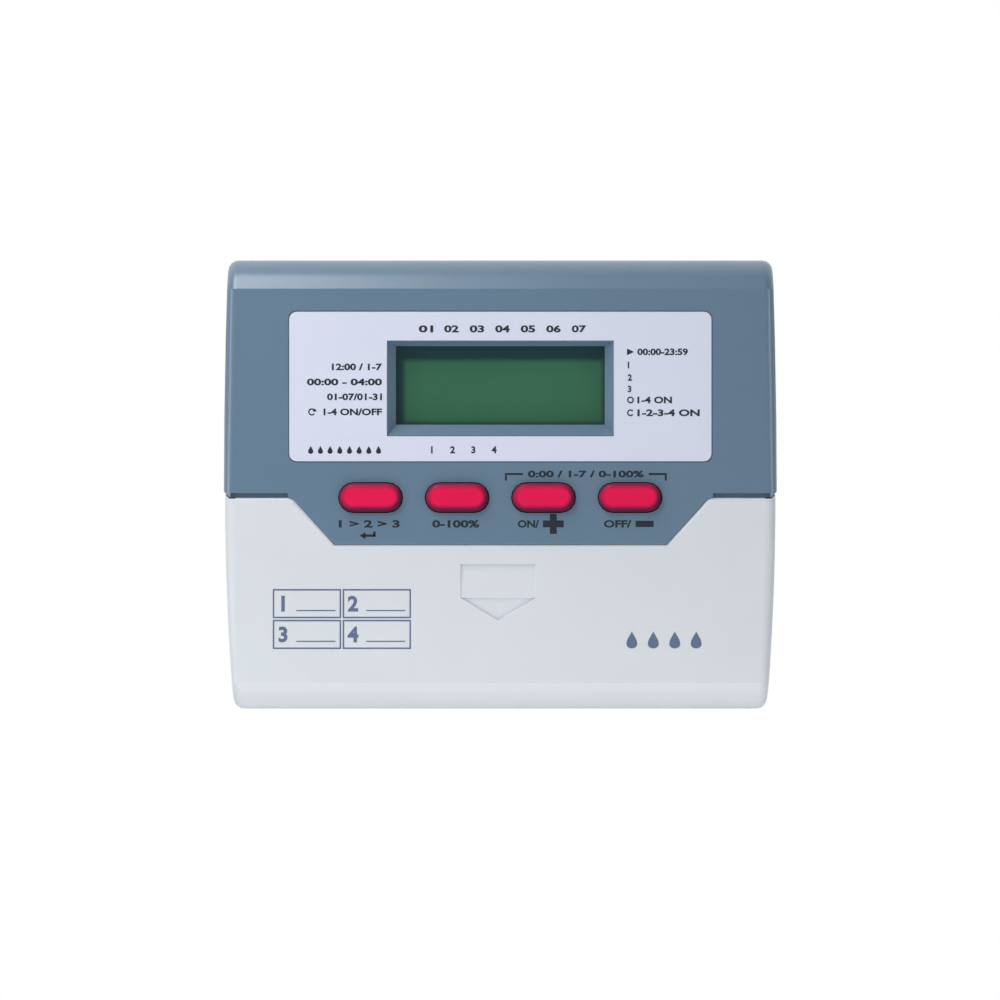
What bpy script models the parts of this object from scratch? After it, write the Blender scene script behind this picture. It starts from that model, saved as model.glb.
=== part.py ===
"""Wall-mounted irrigation controller, built as its separate moulded, electrical and fastening pieces.

Units are metres. The wall is the plane Y = 0, the front faces -Y, X runs to the right seen from the
front and Z runs up. Depths are measured from the wall towards the front, so Y = -depth.
"""

import math

import bmesh
import bpy
from mathutils import Matrix, Vector

OBJECT_NAME = "irrigation_controller"

# Case shells
CASE_WIDTH = 0.160
CASE_HEIGHT = 0.130
CASE_DEPTH = 0.042
WALL = 0.0022
BACK_WALL = 0.0024
REAR_DEPTH = 0.013
REAR_INSET = 0.0012

# Clearances
SEAM_GAP = 0.0004
FIT_GAP = 0.0003
GLUE_GAP = 0.0001
OVERRUN = 0.010
BURIED = 0.0006

# Outline seen from the front, measured down from the top
SEAM_DROP = 0.0688
TOP_DRAW_IN = 0.0012
BOTTOM_DRAW_IN = 0.0025
COVER_STEP = 0.0004
SEAM_CHAMFER = 0.0018
GROOVE_HEIGHT = 0.0013
GROOVE_DEPTH = 0.0014
BAY_DROP = 0.0135
BAY_SLOPE = 0.0122
BAY_MARGIN = 0.0014
BAY_CORNER = 0.0025
SIDE_STEPS = 6

# Rounded front edges
TOP_RADIUS = 0.0128
TOP_ROUND = 0.0084
BOTTOM_RADIUS = 0.0115
BOTTOM_ROUND = 0.0076
SIDE_ROUND = 0.0028
SEAM_EDGE = 0.0004
COVER_EDGE = 0.0008
REAR_EDGE = 0.0010
ARC_STEPS = 8

# Keys and their switches
KEY_NAMES = ("enter", "percent", "plus", "minus")
KEY_PITCH = 0.0250
KEY_LENGTH = 0.0182
KEY_HEIGHT = 0.0083
KEY_DROP = 0.0688
KEY_RISE = 0.0020
KEY_EDGE = 0.0014
KEY_FLANGE = 0.0012
KEY_FLANGE_THICK = 0.0014
KEY_POST_RADIUS = 0.0024
KEY_TRAVEL = 0.0010
SWITCH_SIZE = 0.0060
SWITCH_HEIGHT = 0.0035
PLUNGER_RADIUS = 0.00165
PLUNGER_RISE = 0.0030
PLUNGER_SINK = 0.0010

# Label and display
LABEL_WIDTH = 0.1220
LABEL_HEIGHT = 0.0432
LABEL_DROP = 0.0367
LABEL_CORNER = 0.0022
LABEL_THICK = 0.0004
LABEL_RECESS = 0.0003
WINDOW_WIDTH = 0.0604
WINDOW_HEIGHT = 0.0220
WINDOW_RISE = 0.0007
BEZEL_SIDE = 0.0026
BEZEL_TOP = 0.0016
BEZEL_BOTTOM = 0.0034
BEZEL_DEPTH = 0.0036
BEZEL_LAND = 0.0006
BEZEL_RIM = 0.0016
LENS_LAP = 0.0025
LENS_THICK = 0.0015
LCD_LAP = 0.0022
LCD_THICK = 0.0028
HOLDER_WALL = 0.0024
HOLDER_LEDGE = 0.0020
STRIP_THICK = 0.0020
STRIP_SHORT = 0.0060

# Main board and what is mounted on it
BOARD_SETBACK = 0.0162
BOARD_THICK = 0.0016
BOARD_MARGIN = 0.0010
BOARD_RIM = 0.0060
BOARD_LIP = 0.0020
CHIP_SIZE = 0.0120
CHIP_THICK = 0.0018
CRYSTAL_LENGTH = 0.0105
CRYSTAL_WIDTH = 0.0040
CRYSTAL_THICK = 0.0036
CAPACITOR_RADIUS = 0.0050
CAPACITOR_LENGTH = 0.0120
RECTIFIER_LENGTH = 0.0085
RECTIFIER_WIDTH = 0.0065
RECTIFIER_THICK = 0.0034
TRIAC_COUNT = 4
TRIAC_RADIUS = 0.0024
TRIAC_LENGTH = 0.0046
FUSE_LENGTH = 0.0200
FUSE_RADIUS = 0.0022
FUSE_CAP_LENGTH = 0.0050
FUSE_CAP_RADIUS = 0.0026
FUSE_LIFT = 0.0010
CLIP_THICK = 0.0006
CLIP_WIDTH = 0.0040
PART_PITCH = 0.0250

# Terminals
TERMINAL_COUNT = 8
TERMINAL_PITCH = 0.0062
TERMINAL_END = 0.0006
TERMINAL_WIDTH = 0.0120
TERMINAL_DEPTH = 0.0138
TERMINAL_MARGIN = 0.0020
WIRE_ROOM = 0.0138
WIRE_HOLE = 0.0036
WIRE_HOLE_LENGTH = 0.0080
WIRE_HOLE_LIFT = 0.0020
SCREW_WELL_RADIUS = 0.0023
SCREW_WELL_DEPTH = 0.0060
CLAMP_HEAD_RADIUS = 0.0019
CLAMP_HEAD_HEIGHT = 0.0018
CLAMP_SHANK_RADIUS = 0.0011
CLAMP_SHANK_LENGTH = 0.0030
CLAMP_SLOT_WIDTH = 0.0007
CLAMP_SLOT_DEPTH = 0.0008

# Terminal deck and battery
DECK_LIFT = 0.0034
DECK_THICK = 0.0020
DECK_FLOOR_GAP = 0.0006
RIB_BITE = 0.0016
RIB_THICK = 0.0016
RIB_SHORT = 0.0030
WELL_WALL = 0.0016
WELL_PLAY = 0.0005
SNAP_ROOM = 0.0062
BATTERY_LENGTH = 0.0464
BATTERY_WIDTH = 0.0262
BATTERY_THICK = 0.0173
BATTERY_EDGE = 0.0018
BATTERY_COVER_GAP = 0.0040
STUD_RADIUS = 0.0029
STUD_HEIGHT = 0.0022
STUD_SPACING = 0.0127
SNAP_LENGTH = 0.0230
SNAP_WIDTH = 0.0124
SNAP_THICK = 0.0046
LEAD_RADIUS = 0.00065
LEAD_SPACING = 0.0024
LEAD_LIFT = 0.0026
LEAD_HOLE_RADIUS = 0.0030

# Thumb grip on the cover
GRIP_DROP = 0.0192
GRIP_WIDTH = 0.0216
GRIP_HEIGHT = 0.0098
GRIP_POINT = 0.0066
GRIP_DEEP = 0.0006
GRIP_SHALLOW = 0.0002
GRIP_OFFSET = -0.0007

# Wall fixings and cable entry
KEYHOLE_SPACING = 0.0900
KEYHOLE_DROP = 0.0350
KEYHOLE_RADIUS = 0.0045
KEYHOLE_NECK = 0.0022
KEYHOLE_LENGTH = 0.0090
FIXING_RADIUS = 0.0023
FIXING_RISE = 0.0090
ENTRY_LENGTH = 0.0260
ENTRY_HEIGHT = 0.0064
GROMMET_LINING = 0.0008
GROMMET_FLANGE = 0.0010
GROMMET_LIP = 0.0006

# Screws
BOSS_RADIUS = 0.0034
REAR_BOSS_RADIUS = 0.0047
BOSS_SPACE = 0.0010
BOSS_ROOM = 0.0024
BOSS_EDGE = 0.0040
CASE_HEAD_RADIUS = 0.0030
CASE_HEAD_HEIGHT = 0.0020
CASE_SHANK_RADIUS = 0.0014
CASE_SCREW_BITE = 0.0060
HEAD_CLEARANCE = 0.0004
COUNTERBORE_DEPTH = 0.0032
BOARD_HEAD_RADIUS = 0.0026
BOARD_HEAD_HEIGHT = 0.0018
BOARD_SHANK_RADIUS = 0.0011
BOARD_SCREW_BITE = 0.0060
CROSS_WIDTH = 0.0008
CROSS_LENGTH = 0.0036
CROSS_DEPTH = 0.0009
SHANK_GAP = 0.0002
SCREW_SIDES = 16
ROUND_SIDES = 24

# Heights
TOP_Z = CASE_HEIGHT / 2
BOTTOM_Z = -CASE_HEIGHT / 2
SEAM_Z = TOP_Z - SEAM_DROP
BAY_Z = SEAM_Z - BAY_DROP
KEY_Z = TOP_Z - KEY_DROP
LABEL_Z = TOP_Z - LABEL_DROP
WINDOW_ZS = (LABEL_Z - WINDOW_HEIGHT / 2, LABEL_Z + WINDOW_HEIGHT / 2 + WINDOW_RISE)
BEZEL_ZS = (WINDOW_ZS[0] - BEZEL_BOTTOM, WINDOW_ZS[1] + BEZEL_TOP)
TERMINAL_LOW = BOTTOM_Z + WALL + WIRE_ROOM
TERMINAL_HIGH = TERMINAL_LOW + TERMINAL_WIDTH
DECK_LOW = BOTTOM_Z + WALL + DECK_FLOOR_GAP
DECK_HIGH = SEAM_Z - SEAM_GAP
WELL_LOW = DECK_LOW + WELL_WALL
WELL_HIGH = WELL_LOW + BATTERY_WIDTH + 2 * WELL_PLAY

# Depths from the wall
FRONT = CASE_DEPTH
FRONT_INSIDE = FRONT - WALL
SHELL_BACK = REAR_DEPTH + SEAM_GAP
LENS_FRONT = FRONT - BEZEL_DEPTH - BEZEL_LAND - GLUE_GAP
LENS_BACK = LENS_FRONT - LENS_THICK
LCD_FRONT = LENS_BACK - FIT_GAP
LCD_BACK = LCD_FRONT - LCD_THICK
BOARD_FRONT = FRONT_INSIDE - BOARD_SETBACK
BOARD_BACK = BOARD_FRONT - BOARD_THICK
ON_BOARD = BOARD_FRONT + GLUE_GAP
UNDER_BOARD = BOARD_BACK - GLUE_GAP
SWITCH_TOP = ON_BOARD + SWITCH_HEIGHT
PLUNGER_TOP = SWITCH_TOP + PLUNGER_RISE
DECK_BACK = BOARD_FRONT + DECK_LIFT - DECK_THICK
DECK_FRONT = BOARD_FRONT + DECK_LIFT
WELL_FLOOR = FRONT_INSIDE - BATTERY_COVER_GAP - BATTERY_THICK - FIT_GAP
BATTERY_BACK = WELL_FLOOR + FIT_GAP
BATTERY_MIDDLE = BATTERY_BACK + BATTERY_THICK / 2
TERMINAL_TOP = ON_BOARD + TERMINAL_DEPTH
CLAMP_TOP = TERMINAL_TOP - SCREW_WELL_DEPTH + CLAMP_SHANK_LENGTH + CLAMP_HEAD_HEIGHT

# Positions across
BAY_BOTTOM_HALF = 1.5 * KEY_PITCH + KEY_LENGTH / 2 + BAY_MARGIN
BAY_TOP_HALF = BAY_BOTTOM_HALF + BAY_SLOPE
BOARD_HALF = BAY_TOP_HALF - WALL - BOARD_MARGIN
TERMINAL_LEFT = -BOARD_HALF + TERMINAL_MARGIN
TERMINAL_RIGHT = TERMINAL_LEFT + TERMINAL_COUNT * TERMINAL_PITCH + 2 * TERMINAL_END
TERMINAL_X = (TERMINAL_LEFT + TERMINAL_RIGHT) / 2

# Display stack half sizes, and the board's edges
LCD_HALF = (WINDOW_WIDTH / 2 + LCD_LAP, WINDOW_HEIGHT / 2 + LCD_LAP)
HOLDER_HALF = (LCD_HALF[0] + FIT_GAP + HOLDER_WALL, LCD_HALF[1] + FIT_GAP + HOLDER_WALL)
BOARD_TOP = LABEL_Z + HOLDER_HALF[1] + BOARD_RIM
BOARD_STEP = KEY_Z - SWITCH_SIZE / 2 - BOARD_LIP
BOARD_SCREW_X = BOARD_HALF - BOSS_EDGE
BOARD_SCREW_ZS = (BOARD_TOP - BOSS_EDGE, KEY_Z + KEY_HEIGHT / 2 + KEY_FLANGE + BOSS_RADIUS + BOSS_SPACE)


def key_x(index):
    """Middle of a key across the front, counted from the left."""
    return (index - 1.5) * KEY_PITCH


def terminal_x(index):
    """Middle of a terminal, counted from the left."""
    return TERMINAL_LEFT + TERMINAL_END + (index + 0.5) * TERMINAL_PITCH


def half_width(z):
    """Half the housing's width at height z: each side is one shallow curve, widest at the seam."""
    if z > SEAM_Z:
        return CASE_WIDTH / 2 - TOP_DRAW_IN * ((z - SEAM_Z) / (TOP_Z - SEAM_Z)) ** 2
    return CASE_WIDTH / 2 - BOTTOM_DRAW_IN * ((SEAM_Z - z) / (SEAM_Z - BOTTOM_Z)) ** 2


def cover_inside(z):
    """Half the clear width inside the terminal cover at height z."""
    return half_width(z) - COVER_STEP - WALL


# Screw posts, and the battery well inside them
TONGUE_HALF = cover_inside(DECK_LOW) - FIT_GAP
UPPER_BOSS_Z = BOARD_TOP - BOSS_EDGE / 2
UPPER_BOSS_X = (BOARD_HALF + half_width(UPPER_BOSS_Z) - WALL) / 2
LOWER_BOSS_Z = TERMINAL_LOW + BOSS_EDGE
LOWER_BOSS_X = TONGUE_HALF - BOSS_ROOM - BOSS_RADIUS
NOTCH_LEFT = -LOWER_BOSS_X + BOSS_RADIUS + BOSS_SPACE
WELL_RIGHT = LOWER_BOSS_X - BOSS_RADIUS - BOSS_ROOM - WELL_WALL
BATTERY_RIGHT = WELL_RIGHT - WELL_PLAY
BATTERY_LEFT = BATTERY_RIGHT - BATTERY_LENGTH
BATTERY_Z = (WELL_LOW + WELL_HIGH) / 2
WELL_LEFT = BATTERY_LEFT - WELL_PLAY - SNAP_ROOM
TAB_RIGHT = WELL_LEFT - 2 * WELL_WALL


def span(middle, size):
    """The two ends of a size laid about its middle."""
    return middle - size / 2, middle + size / 2


def steps(start, end, count):
    """Evenly spaced values from start to end, both included."""
    return [start + (end - start) * i / count for i in range(count + 1)]


def arc(centre, radius, start, end, count):
    """Points of an arc between two angles in radians."""
    return [
        (centre[0] + radius * math.cos(angle), centre[1] + radius * math.sin(angle))
        for angle in steps(start, end, count)
    ]


def round_corner(before, corner, after, radius, count):
    """Points of the arc that replaces one corner of an outline."""
    here = Vector(corner)
    back = (Vector(before) - here).normalized()
    ahead = (Vector(after) - here).normalized()
    half = back.angle(ahead) / 2
    centre = here + (back + ahead).normalized() * radius / math.sin(half)
    first = here + back * radius / math.tan(half) - centre
    last = here + ahead * radius / math.tan(half) - centre
    start = math.atan2(first.y, first.x)
    sweep = math.remainder(math.atan2(last.y, last.x) - start, 2 * math.pi)
    return arc(centre, radius, start, start + sweep, count)


def inset(points, distance):
    """An anticlockwise outline drawn in by a distance."""
    drawn = []
    for i, point in enumerate(points):
        here = Vector(point)
        back = here - Vector(points[i - 1])
        ahead = Vector(points[(i + 1) % len(points)]) - here
        left = Vector((-back.y, back.x)).normalized()
        right = Vector((-ahead.y, ahead.x)).normalized()
        drawn.append(tuple(here + (left + right) * distance / (1 + left.dot(right))))
    return drawn


def rounded_rectangle(x, z, width, height, radius, count=4):
    """Outline of a rectangle with round corners, about its middle."""
    right = width / 2 - radius
    top = height / 2 - radius
    points = []
    for i, (sx, sz) in enumerate(((1, 1), (-1, 1), (-1, -1), (1, -1))):
        start = i * math.pi / 2
        points += arc((x + sx * right, z + sz * top), radius, start, start + math.pi / 2, count)
    return points


def stadium(x, z, length, height, count=8):
    """Outline with straight long sides and half-round ends, about its middle."""
    reach = (length - height) / 2
    right = arc((x + reach, z), height / 2, -math.pi / 2, math.pi / 2, count)
    left = arc((x - reach, z), height / 2, math.pi / 2, 3 * math.pi / 2, count)
    return right + left


def clear_scene():
    """Removes every object that the scene holds."""
    for item in list(bpy.data.objects):
        bpy.data.objects.remove(item)


def scene_object(name, data):
    """A new object in the scene."""
    item = bpy.data.objects.new(name, data)
    bpy.context.scene.collection.objects.link(item)
    return item


def evaluated_mesh(item):
    """A mesh of an object as its modifiers or curve settings make it."""
    graph = bpy.context.evaluated_depsgraph_get()
    return bpy.data.meshes.new_from_object(item.evaluated_get(graph))


def tidy(mesh):
    """Welds split corners, caps open ends, merges coplanar faces and turns every face outwards."""
    work = bmesh.new()
    work.from_mesh(mesh)
    bmesh.ops.remove_doubles(work, verts=work.verts, dist=1e-6)
    bmesh.ops.holes_fill(work, edges=work.edges, sides=0)
    bmesh.ops.dissolve_limit(work, angle_limit=math.radians(0.05), verts=work.verts, edges=work.edges)
    bmesh.ops.recalc_face_normals(work, faces=work.faces)
    work.to_mesh(mesh)
    work.free()


def curve_solid(name, curve, placing):
    """A mesh object from a curve that is filled or capped."""
    drawn = scene_object(name, curve)
    mesh = evaluated_mesh(drawn)
    bpy.data.objects.remove(drawn)
    mesh.transform(placing)
    tidy(mesh)
    return scene_object(name, mesh)


def prism(name, outline, low, high, placing):
    """A straight solid of a flat outline, laid by its placing matrix."""
    curve = bpy.data.curves.new(name, "CURVE")
    curve.dimensions = "2D"
    curve.fill_mode = "NONE"
    curve.extrude = (high - low) / 2
    spline = curve.splines.new("POLY")
    spline.points.add(len(outline) - 1)
    for point, (across, up) in zip(spline.points, outline):
        point.co = (across, up, 0, 1)
    spline.use_cyclic_u = True
    return curve_solid(name, curve, placing @ Matrix.Translation((0, 0, (low + high) / 2)))


def front_prism(name, outline, back, front):
    """A solid of an outline seen from the front, between two depths."""
    return prism(name, outline, back, front, Matrix.Rotation(math.pi / 2, 4, "X"))


def side_prism(name, profile, half):
    """A solid of a profile seen from the side as (depth, height), centred across."""
    placing = Matrix(((0, 0, -1, 0), (-1, 0, 0, 0), (0, 1, 0, 0), (0, 0, 0, 1)))
    return prism(name, profile, -half, half, placing)


def plan_prism(name, outline, low, high):
    """A solid of an outline seen from above as (across, depth), between two heights."""
    flipped = [(x, -depth) for x, depth in outline]
    return prism(name, flipped, low, high, Matrix())


def block(name, xs, depths, zs):
    """A rectangular solid between pairs of positions across, depths and heights."""
    mesh = bpy.data.meshes.new(name)
    work = bmesh.new()
    bmesh.ops.create_cube(work, size=1)
    for vert in work.verts:
        x = xs[0] if vert.co.x < 0 else xs[1]
        depth = depths[0] if vert.co.y > 0 else depths[1]
        z = zs[0] if vert.co.z < 0 else zs[1]
        vert.co = (x, -depth, z)
    work.to_mesh(mesh)
    work.free()
    return scene_object(name, mesh)


def tapered_block(name, back, front, depths):
    """A solid between two rectangles, each given by its reach across and its reach in height."""
    item = block(name, (0, 1), depths, (0, 1))
    for vert in item.data.vertices:
        xs, zs = back if -vert.co.y < (depths[0] + depths[1]) / 2 else front
        vert.co.x = xs[0] + vert.co.x * (xs[1] - xs[0])
        vert.co.z = zs[0] + vert.co.z * (zs[1] - zs[0])
    return item


def rod(name, x, z, radius, depths, sides=ROUND_SIDES):
    """A round solid running front to back."""
    return turned(name, radius, depths[1] - depths[0], sides, Matrix.Translation(
        (x, -(depths[0] + depths[1]) / 2, z)) @ Matrix.Rotation(math.pi / 2, 4, "X"))


def cross_rod(name, xs, depth, z, radius, sides=ROUND_SIDES):
    """A round solid running from side to side."""
    return turned(name, radius, xs[1] - xs[0], sides, Matrix.Translation(
        ((xs[0] + xs[1]) / 2, -depth, z)) @ Matrix.Rotation(math.pi / 2, 4, "Y"))


def turned(name, radius, length, sides, placing):
    """A cylinder laid by its placing matrix."""
    mesh = bpy.data.meshes.new(name)
    work = bmesh.new()
    bmesh.ops.create_cone(
        work, cap_ends=True, segments=sides, radius1=radius, radius2=radius, depth=length,
    )
    work.to_mesh(mesh)
    work.free()
    mesh.transform(placing)
    return scene_object(name, mesh)


def combine(target, operation, tools):
    """Joins, cuts or intersects a solid with each tool in turn, and removes the tools."""
    for tool in tools:
        modifier = target.modifiers.new(tool.name, "BOOLEAN")
        modifier.operation = operation
        modifier.solver = "EXACT"
        modifier.object = tool
    mesh = evaluated_mesh(target)
    target.modifiers.clear()
    target.data = mesh
    for tool in tools:
        bpy.data.objects.remove(tool)
    tidy(mesh)
    return target


def join(target, *tools):
    """The target with each tool added to it."""
    return combine(target, "UNION", tools)


def cut(target, *tools):
    """The target with each tool taken out of it."""
    return combine(target, "DIFFERENCE", tools)


def overlap(target, *tools):
    """What the target and every tool have in common."""
    return combine(target, "INTERSECT", tools)


def round_edges(target, chosen, radius, segments):
    """Rounds the edges that the chosen test picks."""
    work = bmesh.new()
    work.from_mesh(target.data)
    work.normal_update()
    edges = [edge for edge in work.edges if len(edge.link_faces) == 2 and chosen(edge)]
    bmesh.ops.bevel(
        work, geom=edges, offset=radius, offset_type="OFFSET", segments=segments, profile=0.5,
        affect="EDGES",
    )
    work.to_mesh(target.data)
    work.free()
    tidy(target.data)
    return target


def on_depth(edge, depth):
    """Whether an edge lies in the plane at a depth."""
    return all(abs(-vert.co.y - depth) < 1e-5 for vert in edge.verts)


def is_outer_side_edge(edge):
    """Whether an edge runs between a side wall and the front or top of a shell."""
    normals = [face.normal for face in edge.link_faces]
    side = max(abs(normal.x) for normal in normals)
    other = min(abs(normal.x) for normal in normals)
    near_side = min(abs(vert.co.x) for vert in edge.verts) > BAY_TOP_HALF + BAY_CORNER
    at_seam = all(abs(vert.co.z - SEAM_Z) < 2 * SEAM_GAP for vert in edge.verts)
    return near_side and side > 0.6 and other < 0.3 and not at_seam and not on_depth(edge, SHELL_BACK)


def srgb(red, green, blue):
    """Scene-linear colour of an 8-bit display colour."""
    levels = (channel / 255 for channel in (red, green, blue))
    linear = [v / 12.92 if v <= 0.04045 else ((v + 0.055) / 1.055) ** 2.4 for v in levels]
    return (*linear, 1.0)


def material(name, colour, roughness, metallic=0.0):
    """A plain Principled material."""
    made = bpy.data.materials.new(name)
    made.use_nodes = True
    shader = next(node for node in made.node_tree.nodes if node.type == "BSDF_PRINCIPLED")
    shader.inputs["Base Color"].default_value = colour
    shader.inputs["Roughness"].default_value = roughness
    shader.inputs["Metallic"].default_value = metallic
    made.diffuse_color = colour
    return made


def housing_plastic():
    """Blue-grey moulded case plastic."""
    return material("housing_plastic", srgb(100, 124, 145), 0.42)


def cover_plastic():
    """Off-white moulded cover plastic."""
    return material("cover_plastic", srgb(214, 219, 226), 0.45)


def key_plastic():
    """Crimson key plastic."""
    return material("key_plastic", srgb(222, 32, 80), 0.40)


def label_film():
    """Pale printed film."""
    return material("label_film", srgb(211, 217, 234), 0.38)


def clear_window():
    """Clear window plastic."""
    return material("clear_window", srgb(190, 205, 200), 0.10)


def display_glass():
    """Dark green display glass."""
    return material("display_glass", srgb(55, 100, 78), 0.20)


def holder_plastic():
    """White inner moulding."""
    return material("holder_plastic", srgb(225, 225, 220), 0.50)


def elastomer():
    """Layered contact rubber."""
    return material("elastomer", srgb(60, 62, 66), 0.70)


def board_laminate():
    """Green circuit board."""
    return material("board_laminate", srgb(38, 92, 58), 0.45)


def dark_plastic():
    """Black component plastic."""
    return material("dark_plastic", srgb(32, 33, 36), 0.45)


def terminal_plastic():
    """Green terminal moulding."""
    return material("terminal_plastic", srgb(46, 122, 70), 0.45)


def plated_steel():
    """Zinc-plated steel."""
    return material("plated_steel", srgb(190, 192, 196), 0.32, 1.0)


def can_metal():
    """Drawn metal can."""
    return material("can_metal", srgb(198, 200, 203), 0.28, 1.0)


def sleeve_blue():
    """Printed capacitor sleeve."""
    return material("sleeve_blue", srgb(36, 52, 96), 0.40)


def fuse_glass():
    """Fuse tube with its caps."""
    return material("fuse_glass", srgb(200, 208, 205), 0.15)


def battery_wrap():
    """Battery jacket."""
    return material("battery_wrap", srgb(58, 60, 66), 0.35)


def soft_rubber():
    """Black rubber."""
    return material("soft_rubber", srgb(40, 41, 43), 0.80)


def red_insulation():
    """Red wire insulation."""
    return material("red_insulation", srgb(186, 30, 34), 0.50)


def black_insulation():
    """Black wire insulation."""
    return material("black_insulation", srgb(30, 30, 32), 0.50)


def finish(item, surface, origin=(0, 0, 0), name=None):
    """Names a finished piece, gives it its material and smooth shading, and sets its origin."""
    if name:
        item.name = name
    item.data.name = item.name
    item.data.transform(Matrix.Translation(-Vector(origin)))
    item.location = origin
    item.data.materials.clear()
    item.data.materials.append(surface)
    item.data.shade_smooth()
    item.data.set_sharp_from_angle(angle=math.radians(32))
    return item


def repeat(item, name, origin):
    """Another piece with the same shape at its own place."""
    twin = scene_object(name, item.data)
    twin.location = origin
    return twin


def per_key(first, kind):
    """A piece that every key has, from the first key's."""
    _, y, z = first.location
    others = [(key_x(index), name) for index, name in enumerate(KEY_NAMES)][1:]
    return [first, *[repeat(first, f"{name}_{kind}", (x, y, z)) for x, name in others]]


def numbered(first, stem, places):
    """A numbered row of one piece at places given as (across, height)."""
    y = first.location.y
    return [first, *[repeat(first, f"{stem}_{i}", (x, y, z)) for i, (x, z) in enumerate(places[1:], 2)]]


def case_screw_places():
    """Where the case screws are, as (across, height)."""
    upper = [(s * UPPER_BOSS_X, UPPER_BOSS_Z) for s in (-1, 1)]
    lower = [(s * LOWER_BOSS_X, LOWER_BOSS_Z) for s in (-1, 1)]
    return upper + lower


def board_screw_places():
    """Where the board screws are, as (across, height)."""
    return [(s * BOARD_SCREW_X, z) for z in BOARD_SCREW_ZS for s in (-1, 1)]


def bay_edge():
    """Right end of the button bay, from its lower corner up to the seam."""
    low = (BAY_BOTTOM_HALF, BAY_Z)
    return [low, *round_corner(low, (BAY_TOP_HALF, SEAM_Z), (CASE_WIDTH, SEAM_Z), BAY_CORNER, 4)]


def mirrored(right):
    """A closed outline from its right half."""
    return right + [(-x, z) for x, z in reversed(right)]


def housing_outline():
    """Front outline of the housing: curved sides, and a bay that drops between sloping ends."""
    side = [(half_width(z), z) for z in steps(SEAM_Z, TOP_Z, SIDE_STEPS)]
    side.append((half_width(TOP_Z), TOP_Z + OVERRUN))
    return mirrored([*bay_edge(), *side])


def housing_seam():
    """Tools that shape the housing's lower edge: a chamfer at each side, and a groove beside the bay."""
    foot = CASE_WIDTH / 2 - SEAM_CHAMFER
    tools = []
    for s in (-1, 1):
        chamfer = [(foot - BURIED, SEAM_Z - BURIED), (foot + OVERRUN, SEAM_Z - BURIED),
                   (foot + OVERRUN, SEAM_Z + OVERRUN)]
        outline = [(s * x, z) for x, z in chamfer]
        tools.append(front_prism("chamfer", outline, SHELL_BACK - OVERRUN, FRONT + OVERRUN))
        xs = sorted((s * (BAY_TOP_HALF + BAY_CORNER / 2), s * (foot - FIT_GAP)))
        tools.append(block("groove", xs, (FRONT - GROOVE_DEPTH, FRONT + BURIED),
                           (SEAM_Z - BURIED, SEAM_Z + GROOVE_HEIGHT)))
    return tools


def housing_profile(draw_in=0.0):
    """Side profile of the housing: a flat front that is creased into a round top."""
    crease = math.asin(1 - TOP_ROUND / TOP_RADIUS)
    centre = (FRONT - TOP_RADIUS * math.cos(crease), TOP_Z - TOP_RADIUS)
    radius = TOP_RADIUS - draw_in
    start = math.acos((FRONT - draw_in - centre[0]) / radius)
    top = arc(centre, radius, start, math.pi / 2, ARC_STEPS)
    back = SHELL_BACK - OVERRUN
    low = BAY_Z - OVERRUN
    return [(back, low), (FRONT - draw_in, low), *top, (back, TOP_Z - draw_in)]


def cover_outline():
    """Front outline of the cover's curved sides, left high for the seam to be cut."""
    zs = steps(BOTTOM_Z, SEAM_Z + OVERRUN / 2, SIDE_STEPS)
    side = [(half_width(z) - COVER_STEP, z) for z in zs]
    return mirrored([(side[0][0], BOTTOM_Z - OVERRUN), *side])


def seam_room():
    """What the cover leaves free for the housing: the bay, the seam and the chamfers, and a gap."""
    foot = CASE_WIDTH / 2 - SEAM_CHAMFER
    right = [*bay_edge(), (foot, SEAM_Z), (foot + OVERRUN, SEAM_Z + OVERRUN)]
    return front_prism("seam_room", inset(mirrored(right), -FIT_GAP), SHELL_BACK - OVERRUN, FRONT + OVERRUN)


def cover_profile(draw_in=0.0):
    """Side profile of the cover: a flat front that is creased into a round bottom."""
    crease = math.asin(1 - BOTTOM_ROUND / BOTTOM_RADIUS)
    centre = (FRONT - BOTTOM_RADIUS * math.cos(crease), BOTTOM_Z + BOTTOM_RADIUS)
    radius = BOTTOM_RADIUS - draw_in
    end = math.acos((FRONT - draw_in - centre[0]) / radius)
    bottom = arc(centre, radius, -math.pi / 2, -end, ARC_STEPS)
    back = SHELL_BACK - OVERRUN
    high = TOP_Z
    return [(back, BOTTOM_Z + draw_in), *bottom, (FRONT - draw_in, high), (back, high)]


def is_seam_edge(edge):
    """Whether an edge is where a shell's front face turns in at the seam."""
    normals = [face.normal for face in edge.link_faces]
    faces_front = any(normal.y < -0.99 for normal in normals)
    turns_in = any(abs(normal.y) < 0.01 and abs(normal.z) > 0.3 for normal in normals)
    return faces_front and turns_in and on_depth(edge, FRONT)


def housing_cavity():
    """The hollow of the housing, open at the back and behind the bay's lower wall."""
    hollow = front_prism("hollow", inset(housing_outline(), WALL), SHELL_BACK - OVERRUN, FRONT + OVERRUN)
    hollow = overlap(hollow, side_prism("hollow_profile", housing_profile(WALL), CASE_WIDTH))
    half = BOARD_HALF + SEAM_GAP
    way = block("bay_way", (-half, half), (SHELL_BACK - OVERRUN, DECK_FRONT + SEAM_GAP),
                (BAY_Z - OVERRUN, SEAM_Z + 2 * WALL))
    return hollow, way


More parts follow.
